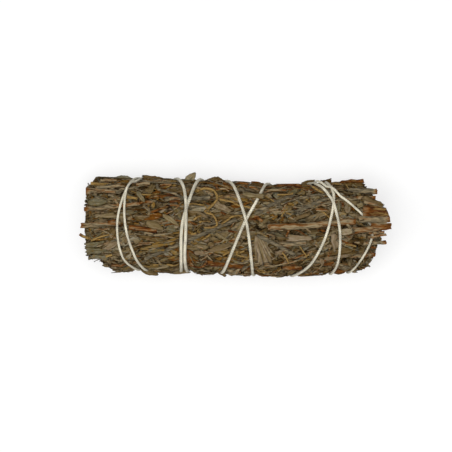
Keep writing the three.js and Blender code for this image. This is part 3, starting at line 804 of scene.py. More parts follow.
# Small twigs: thin grey and golden shoots, curls of peeled bark and broken chips that lie on the leaves.
# Each is a short tapering round that follows the bundle's surface and passes under the twine. Each row gives
# the bark, the radius, the height over the pressed surface and the route seen from above, in mm.
TWIGS = [
    ("golden", 0.4, 1.7, [
        (-12.6, 12.4), (-7.8, 11.9), (-6.4, 10.5), (-6.0, 9.1), (-7.0, 7.4), (-9.0, 5.6), (-10.1, 4.9),
        (-9.0, 4.2), (-7.4, 3.6), (-6.2, 1.6), (-6.0, 0.3), (-7.4, -0.4), (-10.2, -0.5)]),
    ("golden", 0.42, 1.5, [(-13.6, 2.0), (-12.4, 3.0), (-11.1, 3.6)]),
    ("golden", 0.28, 1.5, [(-11.8, 1.3), (-10.0, 1.7), (-8.3, 1.5)]),
    ("golden", 0.38, 1.5, [(-5.1, 8.7), (0.8, 7.5), (4.7, 6.5)]),
    ("golden", 0.36, 1.5, [(-4.6, 0.7), (-2.6, 2.0), (-1.1, 3.1), (1.8, 3.4)]),
    ("golden", 0.3, 1.4, [(-4.0, -9.7), (0.2, -8.9), (3.9, -8.0)]),
    ("golden", 0.5, 1.2, [(-35.4, 9.6), (-31.9, 8.9)]),
    ("golden", 0.32, 1.5, [(15.2, -8.5), (16.1, -9.5), (17.5, -12.1)]),
    ("golden", 0.35, 1.1, [(-46.8, -4.7), (-44.6, -3.7), (-41.0, -2.7)]),
    ("golden", 0.4, 1.3, [(25.0, 12.8), (28.6, 11.8)]),
    ("golden", 0.32, 1.5, [(14.8, 3.0), (15.6, 4.3), (16.2, 5.2)]),
    ("golden", 0.3, 1.4, [(16.4, 4.2), (17.2, 4.1), (18.0, 3.8)]),
    ("golden", 0.3, 1.4, [(13.4, 10.2), (16.0, 10.2), (18.6, 10.5)]),
    ("golden", 0.3, 1.3, [(35.8, -6.2), (37.6, -6.1), (39.4, -6.7)]),
    ("golden", 0.4, 1.2, [(-42.2, -9.9), (-40.2, -9.4)]),
    ("golden", 0.35, 1.3, [(-10.8, -4.5), (-9.5, -3.7), (-8.2, -2.6)]),
    ("golden", 0.35, 1.3, [(-14.2, -2.7), (-12.8, -2.3)]),
    ("amber", 0.5, 0.8, [(43.2, -4.2), (46.0, -3.2), (49.0, -2.7)]),
    ("amber", 0.5, 1.1, [(-44.2, 14.9), (-41.5, 15.0), (-38.8, 14.8)]),
    ("amber", 0.45, 1.2, [(4.5, 12.7), (10.5, 11.9), (16.5, 11.6)]),
    ("amber", 0.6, 1.0, [(-32.6, 13.9), (-30.4, 14.0), (-28.0, 13.8)]),
    ("amber", 0.45, 1.3, [(-12.4, -6.6), (-10.6, -7.1)]),
    ("amber", 0.5, 1.2, [(26.2, 5.3), (29.6, 5.3)]),
    ("amber", 0.6, 0.1, [(44.0, 0.5), (46.6, 0.6), (49.2, 0.9)]),
    ("amber", 0.6, 0.0, [(43.4, -2.4), (46.0, -2.2), (48.5, -2.0)]),
    ("grey", 0.7, 1.3, [(7.1, -3.1), (13.0, -5.8), (19.3, -9.3)]),
    ("grey", 0.45, 1.3, [(19.6, 9.0), (24.0, 9.8), (28.8, 10.7)]),
    ("grey", 0.3, 1.4, [(13.5, 6.0), (16.0, 7.6), (19.5, 8.8)]),
    ("olive", 0.45, 1.4, [
        (-25.7, 13.5), (-25.4, 12.1), (-22.6, 11.3), (-19.9, 10.5), (-18.2, 10.0)]),
    ("olive", 0.25, 1.4, [(-14.7, 0.9), (-13.9, -0.2), (-13.7, -1.6)]),
    ("tan", 0.45, 1.4, [(-41.6, 10.2), (-40.4, 10.0), (-39.2, 8.8), (-38.0, 7.3)]),
    ("tan", 0.4, 1.4, [(-5.4, 12.2), (-3.8, 12.1), (-2.2, 11.7)]),
    ("tan", 0.5, 1.9, [(-21.7, 8.7), (-20.0, 9.1), (-18.3, 9.2)]),
    ("tan", 0.55, 1.0, [(-45.4, 12.6), (-41.0, 12.9), (-36.2, 13.5)]),
    ("tan", 0.6, 0.5, [(-42.6, 11.4), (-40.8, 11.2), (-39.2, 11.0)]),
    ("tan", 0.3, 1.4, [(-30.4, -2.1), (-28.7, -2.2), (-27.0, -2.6)]),
    ("tan", 0.3, 1.5, [(-26.7, -3.0), (-23.0, -2.6), (-20.3, -2.0)]),
    ("tan", 0.5, 1.2, [(41.7, 7.9), (45.9, 6.9)]),
    ("orange", 0.36, 1.5, [
        (-15.5, -8.5), (-15.1, -11.6), (-13.5, -13.2), (-11.1, -13.4), (-9.8, -12.6), (-9.4, -11.4)]),
    ("orange", 0.7, 1.0, [(6.4, 3.2), (7.6, 2.4), (8.7, 1.6)]),
    ("orange", 0.6, 0.9, [(29.0, -12.3), (32.0, -12.4)]),
    ("orange", 0.5, 1.2, [(-24.6, 13.2), (-22.9, 13.5), (-21.2, 13.4)]),
    ("orange", 0.45, 1.4, [(-21.4, 6.9), (-19.8, 6.9), (-18.3, 6.5)]),
    ("orange", 0.45, 1.0, [(-41.5, 1.4), (-39.2, 2.0)]),
    ("orange", 0.4, 1.6, [(-6.6, 13.2), (-6.0, 12.2)]),
    ("orange", 0.35, 1.4, [(-2.4, -1.4), (0.0, -2.0), (2.6, -1.7)]),
    ("orange", 0.45, 1.2, [(34.8, 8.0), (34.9, 6.6)]),
    ("orange", 0.3, 1.3, [(5.0, 14.4), (7.0, 14.5), (8.8, 14.2)]),
    ("orange", 0.45, 1.2, [(13.5, 13.1), (17.0, 13.5), (21.5, 13.2)]),
    ("red", 0.4, 1.2, [(-4.0, 14.0), (0.0, 14.2), (4.0, 13.7)]),
    ("red", 0.35, 0.6, [(44.2, -7.0), (45.7, -7.1)]),
    ("red", 0.4, 1.6, [(-21.6, 8.0), (-20.0, 8.0), (-18.2, 8.2)]),
    ("red", 0.25, 1.4, [(-23.0, 0.2), (-20.2, 0.7), (-18.2, 0.1)]),
    ("red", 0.4, 1.3, [(-4.8, 4.6), (-3.2, 3.8)]),
]
TWIG_SIDES = 9
TWIG_STEP = 0.8 * MM
TWIG_TAPER = 0.8


def twig_line(route, height, radius):
    """A line over the bundle's upper side through points seen from above, kept under the twine."""
    line = []
    for x, y in smooth_line(np.array(route) * MM, TWIG_STEP):
        reach = surface_radius(x, math.pi / 2) + height * MM
        angle = math.acos(max(-1, min(1, (turned_back(x, y) + bow(x) - AXIS.y) / reach)))
        line.append(under_twine(on_bundle(x, angle, height * MM), radius * MM))
    return np.array(line)


for kind, tone in BARK_TONES.items():
    chosen = [(radius, height, route) for name, radius, height, route in TWIGS if name == kind]
    lines = [twig_line(route, height, radius) for radius, height, route in chosen]
    twigs = grow(
        line_object(lines, [radius * MM for radius, _, _ in chosen]),
        stem_tree,
        f"{kind}_twigs",
        Taper=TWIG_TAPER,
        Ridge=0.5 * BARK_RIDGE,
        Tone=tone,
        Left_Cut=0.0,
        Right_Cut=0.0,
        Sides=TWIG_SIDES,
    )
    for (radius, _, _), line in zip(chosen, lines):
        stem_points += [(point, radius * MM) for point in line]
    shift_by_bow(twigs.data, 1)
    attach(twigs, "root")

# A broad splinter beside the longest stems: a thick strip of reddish wood with a furrowed face. It is pressed
# in among the leaves of the right end, and broken off at a slant where it stands out.
SLAB_EDGES = [[(41.4, 2.9), (46.0, 2.9), (50.0, 3.3)], [(41.4, 6.6), (45.5, 7.1), (49.0, 5.9)]]
SLAB_HEIGHTS = (1.0, -1.4)
SLAB_STEPS = (14, 9)
SLAB_EDGE_STEP = 0.1 * MM
SLAB_RIM = 0.6
SLAB_JITTER = 0.1
SLAB_FURROW = 0.3
SLAB_ROUGHNESS = 0.12
SLAB_TONES = (0.5, 0.72)
SLAB_STAIN = (42 * MM, 44 * MM)

lengths, widths = SLAB_STEPS
edges = [smooth_line(np.array(edge) * MM, SLAB_EDGE_STEP) for edge in SLAB_EDGES]
picks = [np.linspace(0, len(edge) - 1, lengths).round().astype(int) for edge in edges]
near, far = (edge[pick] for edge, pick in zip(edges, picks))
furrows = [chance.uniform(-SLAB_FURROW, SLAB_FURROW) for _ in range(widths)]
slab = bmesh.new()
sheets = []
for height in SLAB_HEIGHTS:
    sheet = {}
    for i in range(lengths):
        for j in range(widths):
            share = j / (widths - 1)
            x, y = near[i] * (1 - share) + far[i] * share
            rim = SLAB_RIM * (2 * share - 1) ** 4 if height > 0 else 0
            level = (height - rim + furrows[j] + chance.uniform(-SLAB_ROUGHNESS, SLAB_ROUGHNESS)) * MM
            reach = surface_radius(x, math.pi / 2) + level
            angle = math.acos((turned_back(x, y) + bow(x) - AXIS.y) / reach)
            x += chance.uniform(-SLAB_JITTER, SLAB_JITTER) * MM
            sheet[i, j] = slab.verts.new(on_bundle(x, angle, level))
    sheets.append(sheet)
top, under = sheets
for i in range(lengths - 1):
    for j in range(widths - 1):
        ring = [(i, j), (i + 1, j), (i + 1, j + 1), (i, j + 1)]
        slab.faces.new([top[k] for k in ring])
        slab.faces.new([under[k] for k in reversed(ring)])
border = [(i, 0) for i in range(lengths)] + [(lengths - 1, j) for j in range(1, widths)]
border += [(i, widths - 1) for i in range(lengths - 2, -1, -1)] + [(0, j) for j in range(widths - 2, 0, -1)]
for a, b in zip(border, border[1:] + border[:1]):
    slab.faces.new([top[b], top[a], under[a], under[b]])
bmesh.ops.recalc_face_normals(slab, faces=slab.faces)
mesh = bpy.data.meshes.new("bark_splinter")
slab.to_mesh(mesh)
slab.free()
splinter = bpy.data.objects.new("bark_splinter", mesh)
bpy.context.scene.collection.objects.link(splinter)
tones = [np.interp(vertex.co.x, SLAB_STAIN, SLAB_TONES) for vertex in mesh.vertices]
mesh.attributes.new("tone", "FLOAT", "POINT").data.foreach_set("value", tones)
mesh.materials.append(bark)
shift_by_bow(mesh, 1)
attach(splinter, "root")

# Leafy sprigs: stems of dried sagebrush with all their small grey-olive leaves, pressed flat and curled.
# Leaves lie along the sprig in layers, cover it all round and are trimmed with it at both ends.
LEAF_SHAPES = [
    {"length": 9, "width": 2.4, "curl": 0.5, "bend": 0.15, "twist": 0.25, "outline": "whole"},
    {"length": 11, "width": 2.0, "curl": -0.8, "bend": -0.12, "twist": 0.4, "outline": "whole"},
    {"length": 7, "width": 2.3, "curl": 1.3, "bend": 0.25, "twist": -0.5, "outline": "whole"},
    {"length": 12, "width": 1.5, "curl": 2.2, "bend": 0.1, "twist": 0.4, "outline": "whole"},
    {"length": 6, "width": 2.8, "curl": -0.4, "bend": 0.25, "twist": 0.2, "outline": "torn"},
    {"length": 9, "width": 1.5, "curl": -1.8, "bend": -0.2, "twist": -0.4, "outline": "whole"},
    {"length": 9, "width": 3.6, "curl": 0.4, "bend": 0.2, "twist": 0.15, "outline": "toothed"},
    {"length": 8, "width": 3.0, "curl": -0.7, "bend": 0.15, "twist": -0.25, "outline": "toothed"},
    {"length": 5, "width": 1.8, "curl": 0.8, "bend": -0.2, "twist": 0.5, "outline": "torn"},
    {"length": 13, "width": 2.2, "curl": 1.0, "bend": 0.12, "twist": -0.2, "outline": "whole"},
    {"length": 4, "width": 2.2, "curl": -1.0, "bend": 0.1, "twist": 0.2, "outline": "torn"},
    {"length": 10, "width": 1.0, "curl": 2.6, "bend": 0.25, "twist": 0.5, "outline": "torn"},
    {"length": 8, "width": 1.2, "curl": 1.6, "bend": -0.15, "twist": 0.3, "outline": "torn"},
    {"length": 11, "width": 3.0, "curl": 0.8, "bend": 0.2, "twist": -0.2, "outline": "whole"},
]
LEAF_STATIONS = 6
LEAF_LANES = 4
LEAF_CORNERS = (LEAF_STATIONS + 1) * (LEAF_LANES + 1) + (LEAF_STATIONS - 1) * (LEAF_LANES - 1)
LEAF_THICKNESS = 0.2 * MM
RUFFLE = 0.3
RUFFLE_WAVES = (1.2, 2.4)
PLEAT = 0.22
PLEAT_WAVES = (5.5, 0.9)
EDGE_RAGGED = 0.12
TORN_RAGGED = 0.07
SIDE_DENSITY = 0.72 / MM**2
END_DENSITY = 0.75 / MM**2
LEAF_LAYER = (-1.2 * MM, 0.7 * MM)
LEAF_CEILING = 1.0 * MM
CEILING_PRESS = 0.7
SIDE_FACING = 0.2
END_ZONE = 38 * MM
LEAF_YAW = 0.9
LEAF_FLOW = 1.1
INNER_STRAY = 0.6
LEAF_ROLL = 0.38
LEAF_PITCH = 0.14
INNER_PITCH = 0.55
HEART_INSET = 0.8 * MM
HEART_RECESS = 1.1 * MM
HEART_DEPTH = 1.5 * MM
# How the painted shade deepens below the bundle's surface, and how it eases towards the trimmed ends.
SHADE_START = 0.3 * MM
SHADE_DEPTH = 1.25 * MM
BURIED_DEPTH = 1.0 * MM
END_MARGIN = 2.0 * MM
END_SHADE = 0.2
PRESS_SLOPE = 0.75
PRESS_REACH = 3.0 * MM
PRESS_MARGIN = 0.15 * MM
TWINE_BITE = 0.55 * MM
STEM_BITE = 0.1
OUTER_SPRIGS = range(12, 27)
ALL_SPRIGS = range(1, 27)
LEFT_TRIM = -48.9 * MM
LEFT_ROUND = 2.8 * MM
LEFT_CORNER = 8.5 * MM
RIGHT_TRIM = 47.7 * MM
RIGHT_ROUND = 7.0 * MM
NEAR_SWELL = 0.9 * MM
SWELL_FADE = (-1 * MM, 8 * MM)
SWELL_REST = 0.4
TRIM_OVERSHOOT = 3.5 * MM
TRIM_RAGGED = 0.4 * MM
LEAST_RADIUS = 1e-6
LEAST_DOWN = 1e-6
LEAF_COLOURS = [
    "#5a4322", "#685433", "#746142", "#7c6c4f", "#857558",
    "#7d6a50", "#918263", "#6e6a57", "#8e6f36", "#704312",
]
LEAF_FLECK = "#6e4316"
# The colour of the painted shade deep inside the bundle.
LEAF_DEEP_SHADE = "#1d1104"
SHADE_POWERS = (0.9, 1.06, 1.72)


def pleat(share):
    """Rise and fall of a pleated leaf across its width, from -1 in a fold to 1."""
    return math.cos(math.pi * (PLEAT_WAVES[0] * share + PLEAT_WAVES[1] * share * share))


def leaf_blade(
    name, length, width, curl, bend, twist, outline, seed, stations=LEAF_STATIONS, lanes=LEAF_LANES, crumple=0
):
    """A thin closed leaf along X: two faces that share their rim, curled across, bent and twisted along."""
    dice = random.Random(seed)
    phase, waves = dice.uniform(0, 6.28), dice.uniform(*RUFFLE_WAVES)
    corners, uvs, index = [], [], {}
    for face in (1, -1):
        for i in range(stations + 1):
            for j in range(lanes + 1):
                t, s = i / stations, 2 * j / lanes - 1
                rim = i in (0, stations) or j in (0, lanes)
                if rim and face < 0:
                    index[face, i, j] = index[1, i, j]
                    continue
                notch = 0
                if outline == "whole":
                    half = max(0.1, math.sin(math.pi * (0.06 + 0.9 * t) ** 0.8) ** 0.85)
                elif outline == "fan":
                    half = 0.2 + 0.8 * t
                    notch = 0.07 * pleat(0.6 * s) + 0.12 * s * s if i == stations else 0
                elif outline == "torn":
                    half = 0.8 + 0.2 * math.sin(4 * t + phase)
                    notch = dice.uniform(-TORN_RAGGED, TORN_RAGGED) if i in (0, stations) else 0
                else:
                    half = 0.16 + 0.84 * t**1.3
                    notch = 0.16 * (1 - abs(math.cos(1.5 * math.pi * s))) if i == stations else 0
                edge = width / 2 * half * (1 + dice.uniform(-EDGE_RAGGED, EDGE_RAGGED)) * MM
                lift = 0 if rim else face * LEAF_THICKNESS / 2
                y = edge * math.sin(s * curl) / curl
                z = edge * (1 - math.cos(s * curl)) / curl + lift
                z += RUFFLE * MM * math.sin(2 * math.pi * waves * t + phase) * s * abs(s)
                z += 0 if rim else dice.gauss(0, crumple) * MM
                if outline == "fan":
                    z += PLEAT * MM * t * pleat(s)
                roll = twist * (t - 0.5)
                y, z = y * math.cos(roll) - z * math.sin(roll), y * math.sin(roll) + z * math.cos(roll)
                reach = (t - 0.5 - notch) * length * MM
                pitch = bend * (t - 0.5)
                x = reach * math.cos(pitch) - z * math.sin(pitch)
                z = reach * math.sin(pitch) + z * math.cos(pitch)
                index[face, i, j] = len(corners)
                corners.append((x, y, z))
                uvs.append((t, (s + 1) / 2))
    faces = []
    for i in range(stations):
        for j in range(lanes):
            ring = [(i, j), (i + 1, j), (i + 1, j + 1), (i, j + 1)]
            faces.append([index[1, a, b] for a, b in ring])
            faces.append([index[-1, a, b] for a, b in reversed(ring)])
    mesh = bpy.data.meshes.new(name)
    mesh.from_pydata(corners, [], faces)
    layer = mesh.uv_layers.new(name="blade")
    for loop in mesh.loops:
        layer.data[loop.index].uv = uvs[loop.vertex_index]
    return bpy.data.objects.new(name, mesh)


# Dried sage leaf: grey-olive and matt with a short felt of hairs, drawn into fine lengthwise wrinkles with
# painted shade in their grooves and painted light on their crests, flecked with rust, darkened along its
# margins by browning and by painted shade that outlines each leaf, and painted with shade where it lies deep
# in the bundle.
leaf = bpy.data.materials.new("dried_sage_leaf")
leaf.use_nodes = True
tree = leaf.node_tree
shader = tree.nodes["Principled BSDF"]
place = add_node(tree, "ShaderNodeTexCoord").outputs["Object"]
tint = add_node(tree, "ShaderNodeAttribute", attribute_name="tint").outputs["Fac"]
mottle = add_node(
    tree, "ShaderNodeTexNoise", {"Vector": place, "Scale": 1 / (1.3 * MM), "Detail": 5, "Roughness": 0.65}
)
drift = add_node(
    tree,
    "ShaderNodeMapRange",
    {"Value": mottle.outputs["Fac"], "From Min": 0.25, "From Max": 0.75, "To Min": -0.11, "To Max": 0.11},
)
mixed = add_node(tree, "ShaderNodeMath", {0: tint, 1: drift.outputs[0]}, operation="ADD")
hue = add_node(tree, "ShaderNodeValToRGB", {"Fac": mixed.outputs[0]})
set_ramp(hue, LEAF_COLOURS)
specks = add_node(tree, "ShaderNodeTexNoise", {"Vector": place, "Scale": 1 / (0.7 * MM), "Detail": 2})
rust = add_node(
    tree,
    "ShaderNodeMapRange",
    {"Value": specks.outputs["Fac"], "From Min": 0.62, "From Max": 0.72, "To Min": 0, "To Max": 0.42},
)
flecked = add_node(
    tree,
    "ShaderNodeMix",
    {"Factor": rust.outputs[0], 6: hue.outputs["Color"], 7: linear(LEAF_FLECK)},
    data_type="RGBA",
)
blade_uv = add_node(tree, "ShaderNodeUVMap", uv_map="blade").outputs["UV"]
stretched = add_node(tree, "ShaderNodeMapping", {"Vector": blade_uv, "Scale": (1.6, 11, 1)})
offset = add_node(tree, "ShaderNodeVectorMath", {0: stretched.outputs[0], 1: tint}, operation="ADD")
wrinkles = add_node(
    tree, "ShaderNodeTexNoise", {"Vector": offset.outputs[0], "Scale": 1.0, "Detail": 6, "Roughness": 0.65}
)
# Painted shade and light along the wrinkles: darker in their grooves, brighter than the leaf's colour on
# their crests.
wrinkle_shading = add_node(
    tree,
    "ShaderNodeMapRange",
    {"Value": wrinkles.outputs["Fac"], "From Min": 0.3, "From Max": 0.7, "To Min": 0.36, "To Max": 1.4},
)
# Darker margins: partly browning, partly painted shade that outlines each leaf against its neighbours.
across = add_node(tree, "ShaderNodeSeparateXYZ", {0: blade_uv}).outputs["Y"]
margin = add_node(tree, "ShaderNodeMath", {0: across, 1: 0.5}, operation="SUBTRACT")
margin = add_node(tree, "ShaderNodeMath", {0: margin.outputs[0]}, operation="ABSOLUTE")
margin_brown_and_shade = add_node(
    tree,
    "ShaderNodeMapRange",
    {"Value": margin.outputs[0], "From Min": 0.36, "From Max": 0.5, "To Min": 1.0, "To Max": 0.6},
)
light = add_node(tree, "ShaderNodeMath", {0: wrinkle_shading.outputs[0], 1: margin_brown_and_shade.outputs[0]}, operation="MULTIPLY")
lot = add_node(tree, "ShaderNodeTexWhiteNoise", {"W": tint}, noise_dimensions="1D").outputs["Value"]
age = add_node(tree, "ShaderNodeMapRange", {"Value": lot, "To Min": 0.76, "To Max": 1.28})
light = add_node(tree, "ShaderNodeMath", {0: light.outputs[0], 1: age.outputs[0]}, operation="MULTIPLY")
channels = [
    add_node(tree, "ShaderNodeMath", {0: light.outputs[0], 1: power}, operation="POWER").outputs[0]
    for power in SHADE_POWERS
]
light = add_node(tree, "ShaderNodeCombineXYZ", dict(enumerate(channels)))
lit = add_node(
    tree, "ShaderNodeVectorMath", {0: flecked.outputs[2], 1: light.outputs[0]}, operation="MULTIPLY"
)
# Painted shade where a leaf lies deep in the bundle or in a fold: its colour is mixed towards a dark shade
# colour.
shade_amount = add_node(tree, "ShaderNodeAttribute", attribute_name="shade_amount").outputs["Fac"]
deep_shade = add_node(tree, "ShaderNodeMapRange", {"Value": shade_amount, "To Min": 0.0, "To Max": 0.88})
shaded_colour = add_node(
    tree,
    "ShaderNodeMix",
    {"Factor": deep_shade.outputs[0], 6: lit.outputs["Vector"], 7: linear(LEAF_DEEP_SHADE)},
    data_type="RGBA",
)
tree.links.new(shaded_colour.outputs[2], shader.inputs["Base Color"])
rough = add_node(
    tree, "ShaderNodeMath", {0: wrinkles.outputs["Fac"], 1: mottle.outputs["Fac"]}, operation="ADD"
)
bump = add_node(tree, "ShaderNodeBump", {"Height": rough.outputs[0], "Strength": 0.7, "Distance": 0.3 * MM})
tree.links.new(bump.outputs["Normal"], shader.inputs["Normal"])
shader.inputs["Roughness"].default_value = 0.85
shader.inputs["Specular IOR Level"].default_value = 0.06

# The strewing tree sows points on a solid's outer side and ends, and lays a shape on each, mostly along the
# stick and following its neighbours. Under them it can keep the solid itself, drawn in, as the sprig's heart.
strewing_tree, given = new_geometry_tree(
    "strewn_bits",
    {
        "Shapes": "Collection",
        "Last Shape": "Int",
        "Side Density": "Float",
        "End Density": "Float",
        "Lowest": "Float",
        "Highest": "Float",
        "Yaw": "Float",
        "Flow": "Float",
        "Roll": "Float",
        "Pitch": "Float",
        "Heart": "Bool",
        "Heart Inset": "Float",
        "Stuff": "Material",
        "Seed": "Int",
    },
)
tree = strewing_tree
spot = add_node(tree, "GeometryNodeInputPosition").outputs["Position"]
apart = add_node(tree, "ShaderNodeVectorMath", {0: spot, 1: AXIS}, operation="SUBTRACT")
flat = add_node(tree, "ShaderNodeVectorMath", {0: apart.outputs[0], 1: (0, 1, 1)}, operation="MULTIPLY")
radial = add_node(tree, "ShaderNodeVectorMath", {0: flat.outputs[0]}, operation="NORMALIZE").outputs[0]
facing = add_node(tree, "GeometryNodeInputNormal").outputs["Normal"]
outward = add_node(
    tree, "ShaderNodeVectorMath", {0: facing, 1: radial}, operation="DOT_PRODUCT"
).outputs["Value"]
is_side = add_node(tree, "ShaderNodeMath", {0: outward, 1: SIDE_FACING}, operation="GREATER_THAN")
x_place = add_node(tree, "ShaderNodeSeparateXYZ", {0: apart.outputs[0]}).outputs["X"]
from_middle = add_node(tree, "ShaderNodeMath", {0: x_place}, operation="ABSOLUTE")
is_end = add_node(tree, "ShaderNodeMath", {0: from_middle.outputs[0], 1: END_ZONE}, operation="GREATER_THAN")
side_share = add_node(
    tree, "ShaderNodeMath", {0: is_side.outputs[0], 1: given["Side Density"]}, operation="MULTIPLY"
)
end_share = add_node(
    tree, "ShaderNodeMath", {0: is_end.outputs[0], 1: given["End Density"]}, operation="MULTIPLY"
)
density = add_node(
    tree, "ShaderNodeMath", {0: side_share.outputs[0], 1: end_share.outputs[0]}, operation="ADD"
)
sown = add_node(
    tree,
    "GeometryNodeDistributePointsOnFaces",
    {"Mesh": given["Geometry"], "Density": density.outputs[0], "Seed": given["Seed"]},
)
level = add_node(
    tree, "FunctionNodeRandomValue", {2: given["Lowest"], 3: given["Highest"], "Seed": 1}, data_type="FLOAT"
).outputs[1]
shift = add_node(tree, "ShaderNodeVectorMath", {0: radial, "Scale": level}, operation="SCALE")
layered = add_node(
    tree, "GeometryNodeSetPosition", {"Geometry": sown.outputs["Points"], "Offset": shift.outputs[0]}
)
laid = add_node(
    tree,
    "FunctionNodeAxesToRotation",
    {"Primary Axis": radial, "Secondary Axis": (1, 0, 0)},
    primary_axis="Z",
    secondary_axis="X",
)
stray = add_node(tree, "FunctionNodeRandomValue", {2: -1.0, 3: 1.0, "Seed": 2}, data_type="FLOAT").outputs[1]
size = add_node(tree, "ShaderNodeMath", {0: stray}, operation="ABSOLUTE")
bent = add_node(tree, "ShaderNodeMath", {0: stray, 1: size.outputs[0]}, operation="MULTIPLY")
yaw = add_node(tree, "ShaderNodeMath", {0: bent.outputs[0], 1: given["Yaw"]}, operation="MULTIPLY")
drift = add_node(tree, "ShaderNodeTexNoise", {"Vector": spot, "Scale": 1 / (8 * MM), "Detail": 1})
against = add_node(tree, "ShaderNodeMath", {0: given["Flow"], 1: -1.0}, operation="MULTIPLY")
flow = add_node(
    tree,
    "ShaderNodeMapRange",
    {"Value": drift.outputs["Fac"], "To Min": against.outputs[0], "To Max": given["Flow"]},
)
yaw = add_node(tree, "ShaderNodeMath", {0: yaw.outputs[0], 1: flow.outputs[0]}, operation="ADD")
flip = add_node(tree, "FunctionNodeRandomValue", {4: 0, 5: 1, "Seed": 3}, data_type="INT").outputs[2]
about = add_node(tree, "ShaderNodeMath", {0: flip, 1: math.pi}, operation="MULTIPLY")
turn = add_node(tree, "ShaderNodeMath", {0: yaw.outputs[0], 1: about.outputs[0]}, operation="ADD")
roll = add_node(tree, "FunctionNodeRandomValue", {2: -1.0, 3: 1.0, "Seed": 4}, data_type="FLOAT").outputs[1]
roll = add_node(tree, "ShaderNodeMath", {0: roll, 1: given["Roll"]}, operation="MULTIPLY")
pitch = add_node(tree, "FunctionNodeRandomValue", {2: -1.0, 3: 1.0, "Seed": 5}, data_type="FLOAT").outputs[1]
pitch = add_node(tree, "ShaderNodeMath", {0: pitch, 1: given["Pitch"]}, operation="MULTIPLY")
swing = add_node(tree, "ShaderNodeCombineXYZ", {0: roll.outputs[0], 1: pitch.outputs[0], 2: turn.outputs[0]})
spun = add_node(tree, "FunctionNodeEulerToRotation", {0: swing.outputs[0]})
turned = add_node(
    tree,
    "FunctionNodeRotateRotation",
    {"Rotation": laid.outputs[0], "Rotate By": spun.outputs[0]},
    rotation_space="LOCAL",
)
shapes = add_node(
    tree,
    "GeometryNodeCollectionInfo",
    {"Collection": given["Shapes"], "Separate Children": True, "Reset Children": True},
)
pick = add_node(
    tree, "FunctionNodeRandomValue", {4: 0, 5: given["Last Shape"], "Seed": 6}, data_type="INT"
).outputs[2]
scale = add_node(tree, "FunctionNodeRandomValue", {2: 0.7, 3: 1.15, "Seed": 7}, data_type="FLOAT").outputs[1]
bits = add_node(
    tree,
    "GeometryNodeInstanceOnPoints",
    {
        "Points": layered.outputs["Geometry"],
        "Instance": shapes.outputs["Instances"],
        "Pick Instance": True,
        "Instance Index": pick,
        "Rotation": turned.outputs["Rotation"],
        "Scale": scale,
    },
)
shade = add_node(tree, "FunctionNodeRandomValue", {2: 0.0, 3: 1.0, "Seed": 8}, data_type="FLOAT").outputs[1]
tinted = add_node(
    tree,
    "GeometryNodeStoreNamedAttribute",
    {"Geometry": bits.outputs["Instances"], "Name": "tint", "Value": shade},
    data_type="FLOAT",
    domain="INSTANCE",
)
realized = add_node(tree, "GeometryNodeRealizeInstances", {"Geometry": tinted.outputs["Geometry"]})
inset = add_node(tree, "ShaderNodeMath", {0: given["Heart Inset"], 1: -1.0}, operation="MULTIPLY")
shrink = add_node(tree, "ShaderNodeVectorMath", {0: facing, "Scale": inset.outputs[0]}, operation="SCALE")
heart = add_node(
    tree, "GeometryNodeSetPosition", {"Geometry": given["Geometry"], "Offset": shrink.outputs[0]}
)
heart = add_node(
    tree,
    "GeometryNodeStoreNamedAttribute",
    {"Geometry": heart.outputs["Geometry"], "Name": "tint", "Value": -1.0},
    data_type="FLOAT",
    domain="POINT",
)
kept = add_node(
    tree,
    "GeometryNodeSwitch",
    {"Switch": given["Heart"], "True": heart.outputs["Geometry"]},
    input_type="GEOMETRY",
)
whole = add_node(tree, "GeometryNodeJoinGeometry")
tree.links.new(kept.outputs["Output"], whole.inputs["Geometry"])
tree.links.new(realized.outputs["Geometry"], whole.inputs["Geometry"])
smooth = add_node(tree, "GeometryNodeSetShadeSmooth", {"Geometry": whole.outputs["Geometry"]})
dressed = add_node(
    tree, "GeometryNodeSetMaterial", {"Geometry": smooth.outputs["Geometry"], "Material": given["Stuff"]}
)
add_node(tree, "NodeGroupOutput", {0: dressed.outputs["Geometry"]})

stem_search = search_over([point for point, _ in stem_points])
luck = np.random.default_rng(7)


def end_trims(spots):
    """How far left and right the trimmed bundle reaches at each point, from the axis."""
    out = np.hypot(spots[:, 1], spots[:, 2]) / BODY_RADIUS
    corner = np.maximum(0, -LEFT_CORNER - spots[:, 1])
    return LEFT_TRIM + LEFT_ROUND * out**4 + corner, RIGHT_TRIM - RIGHT_ROUND * out**2.2


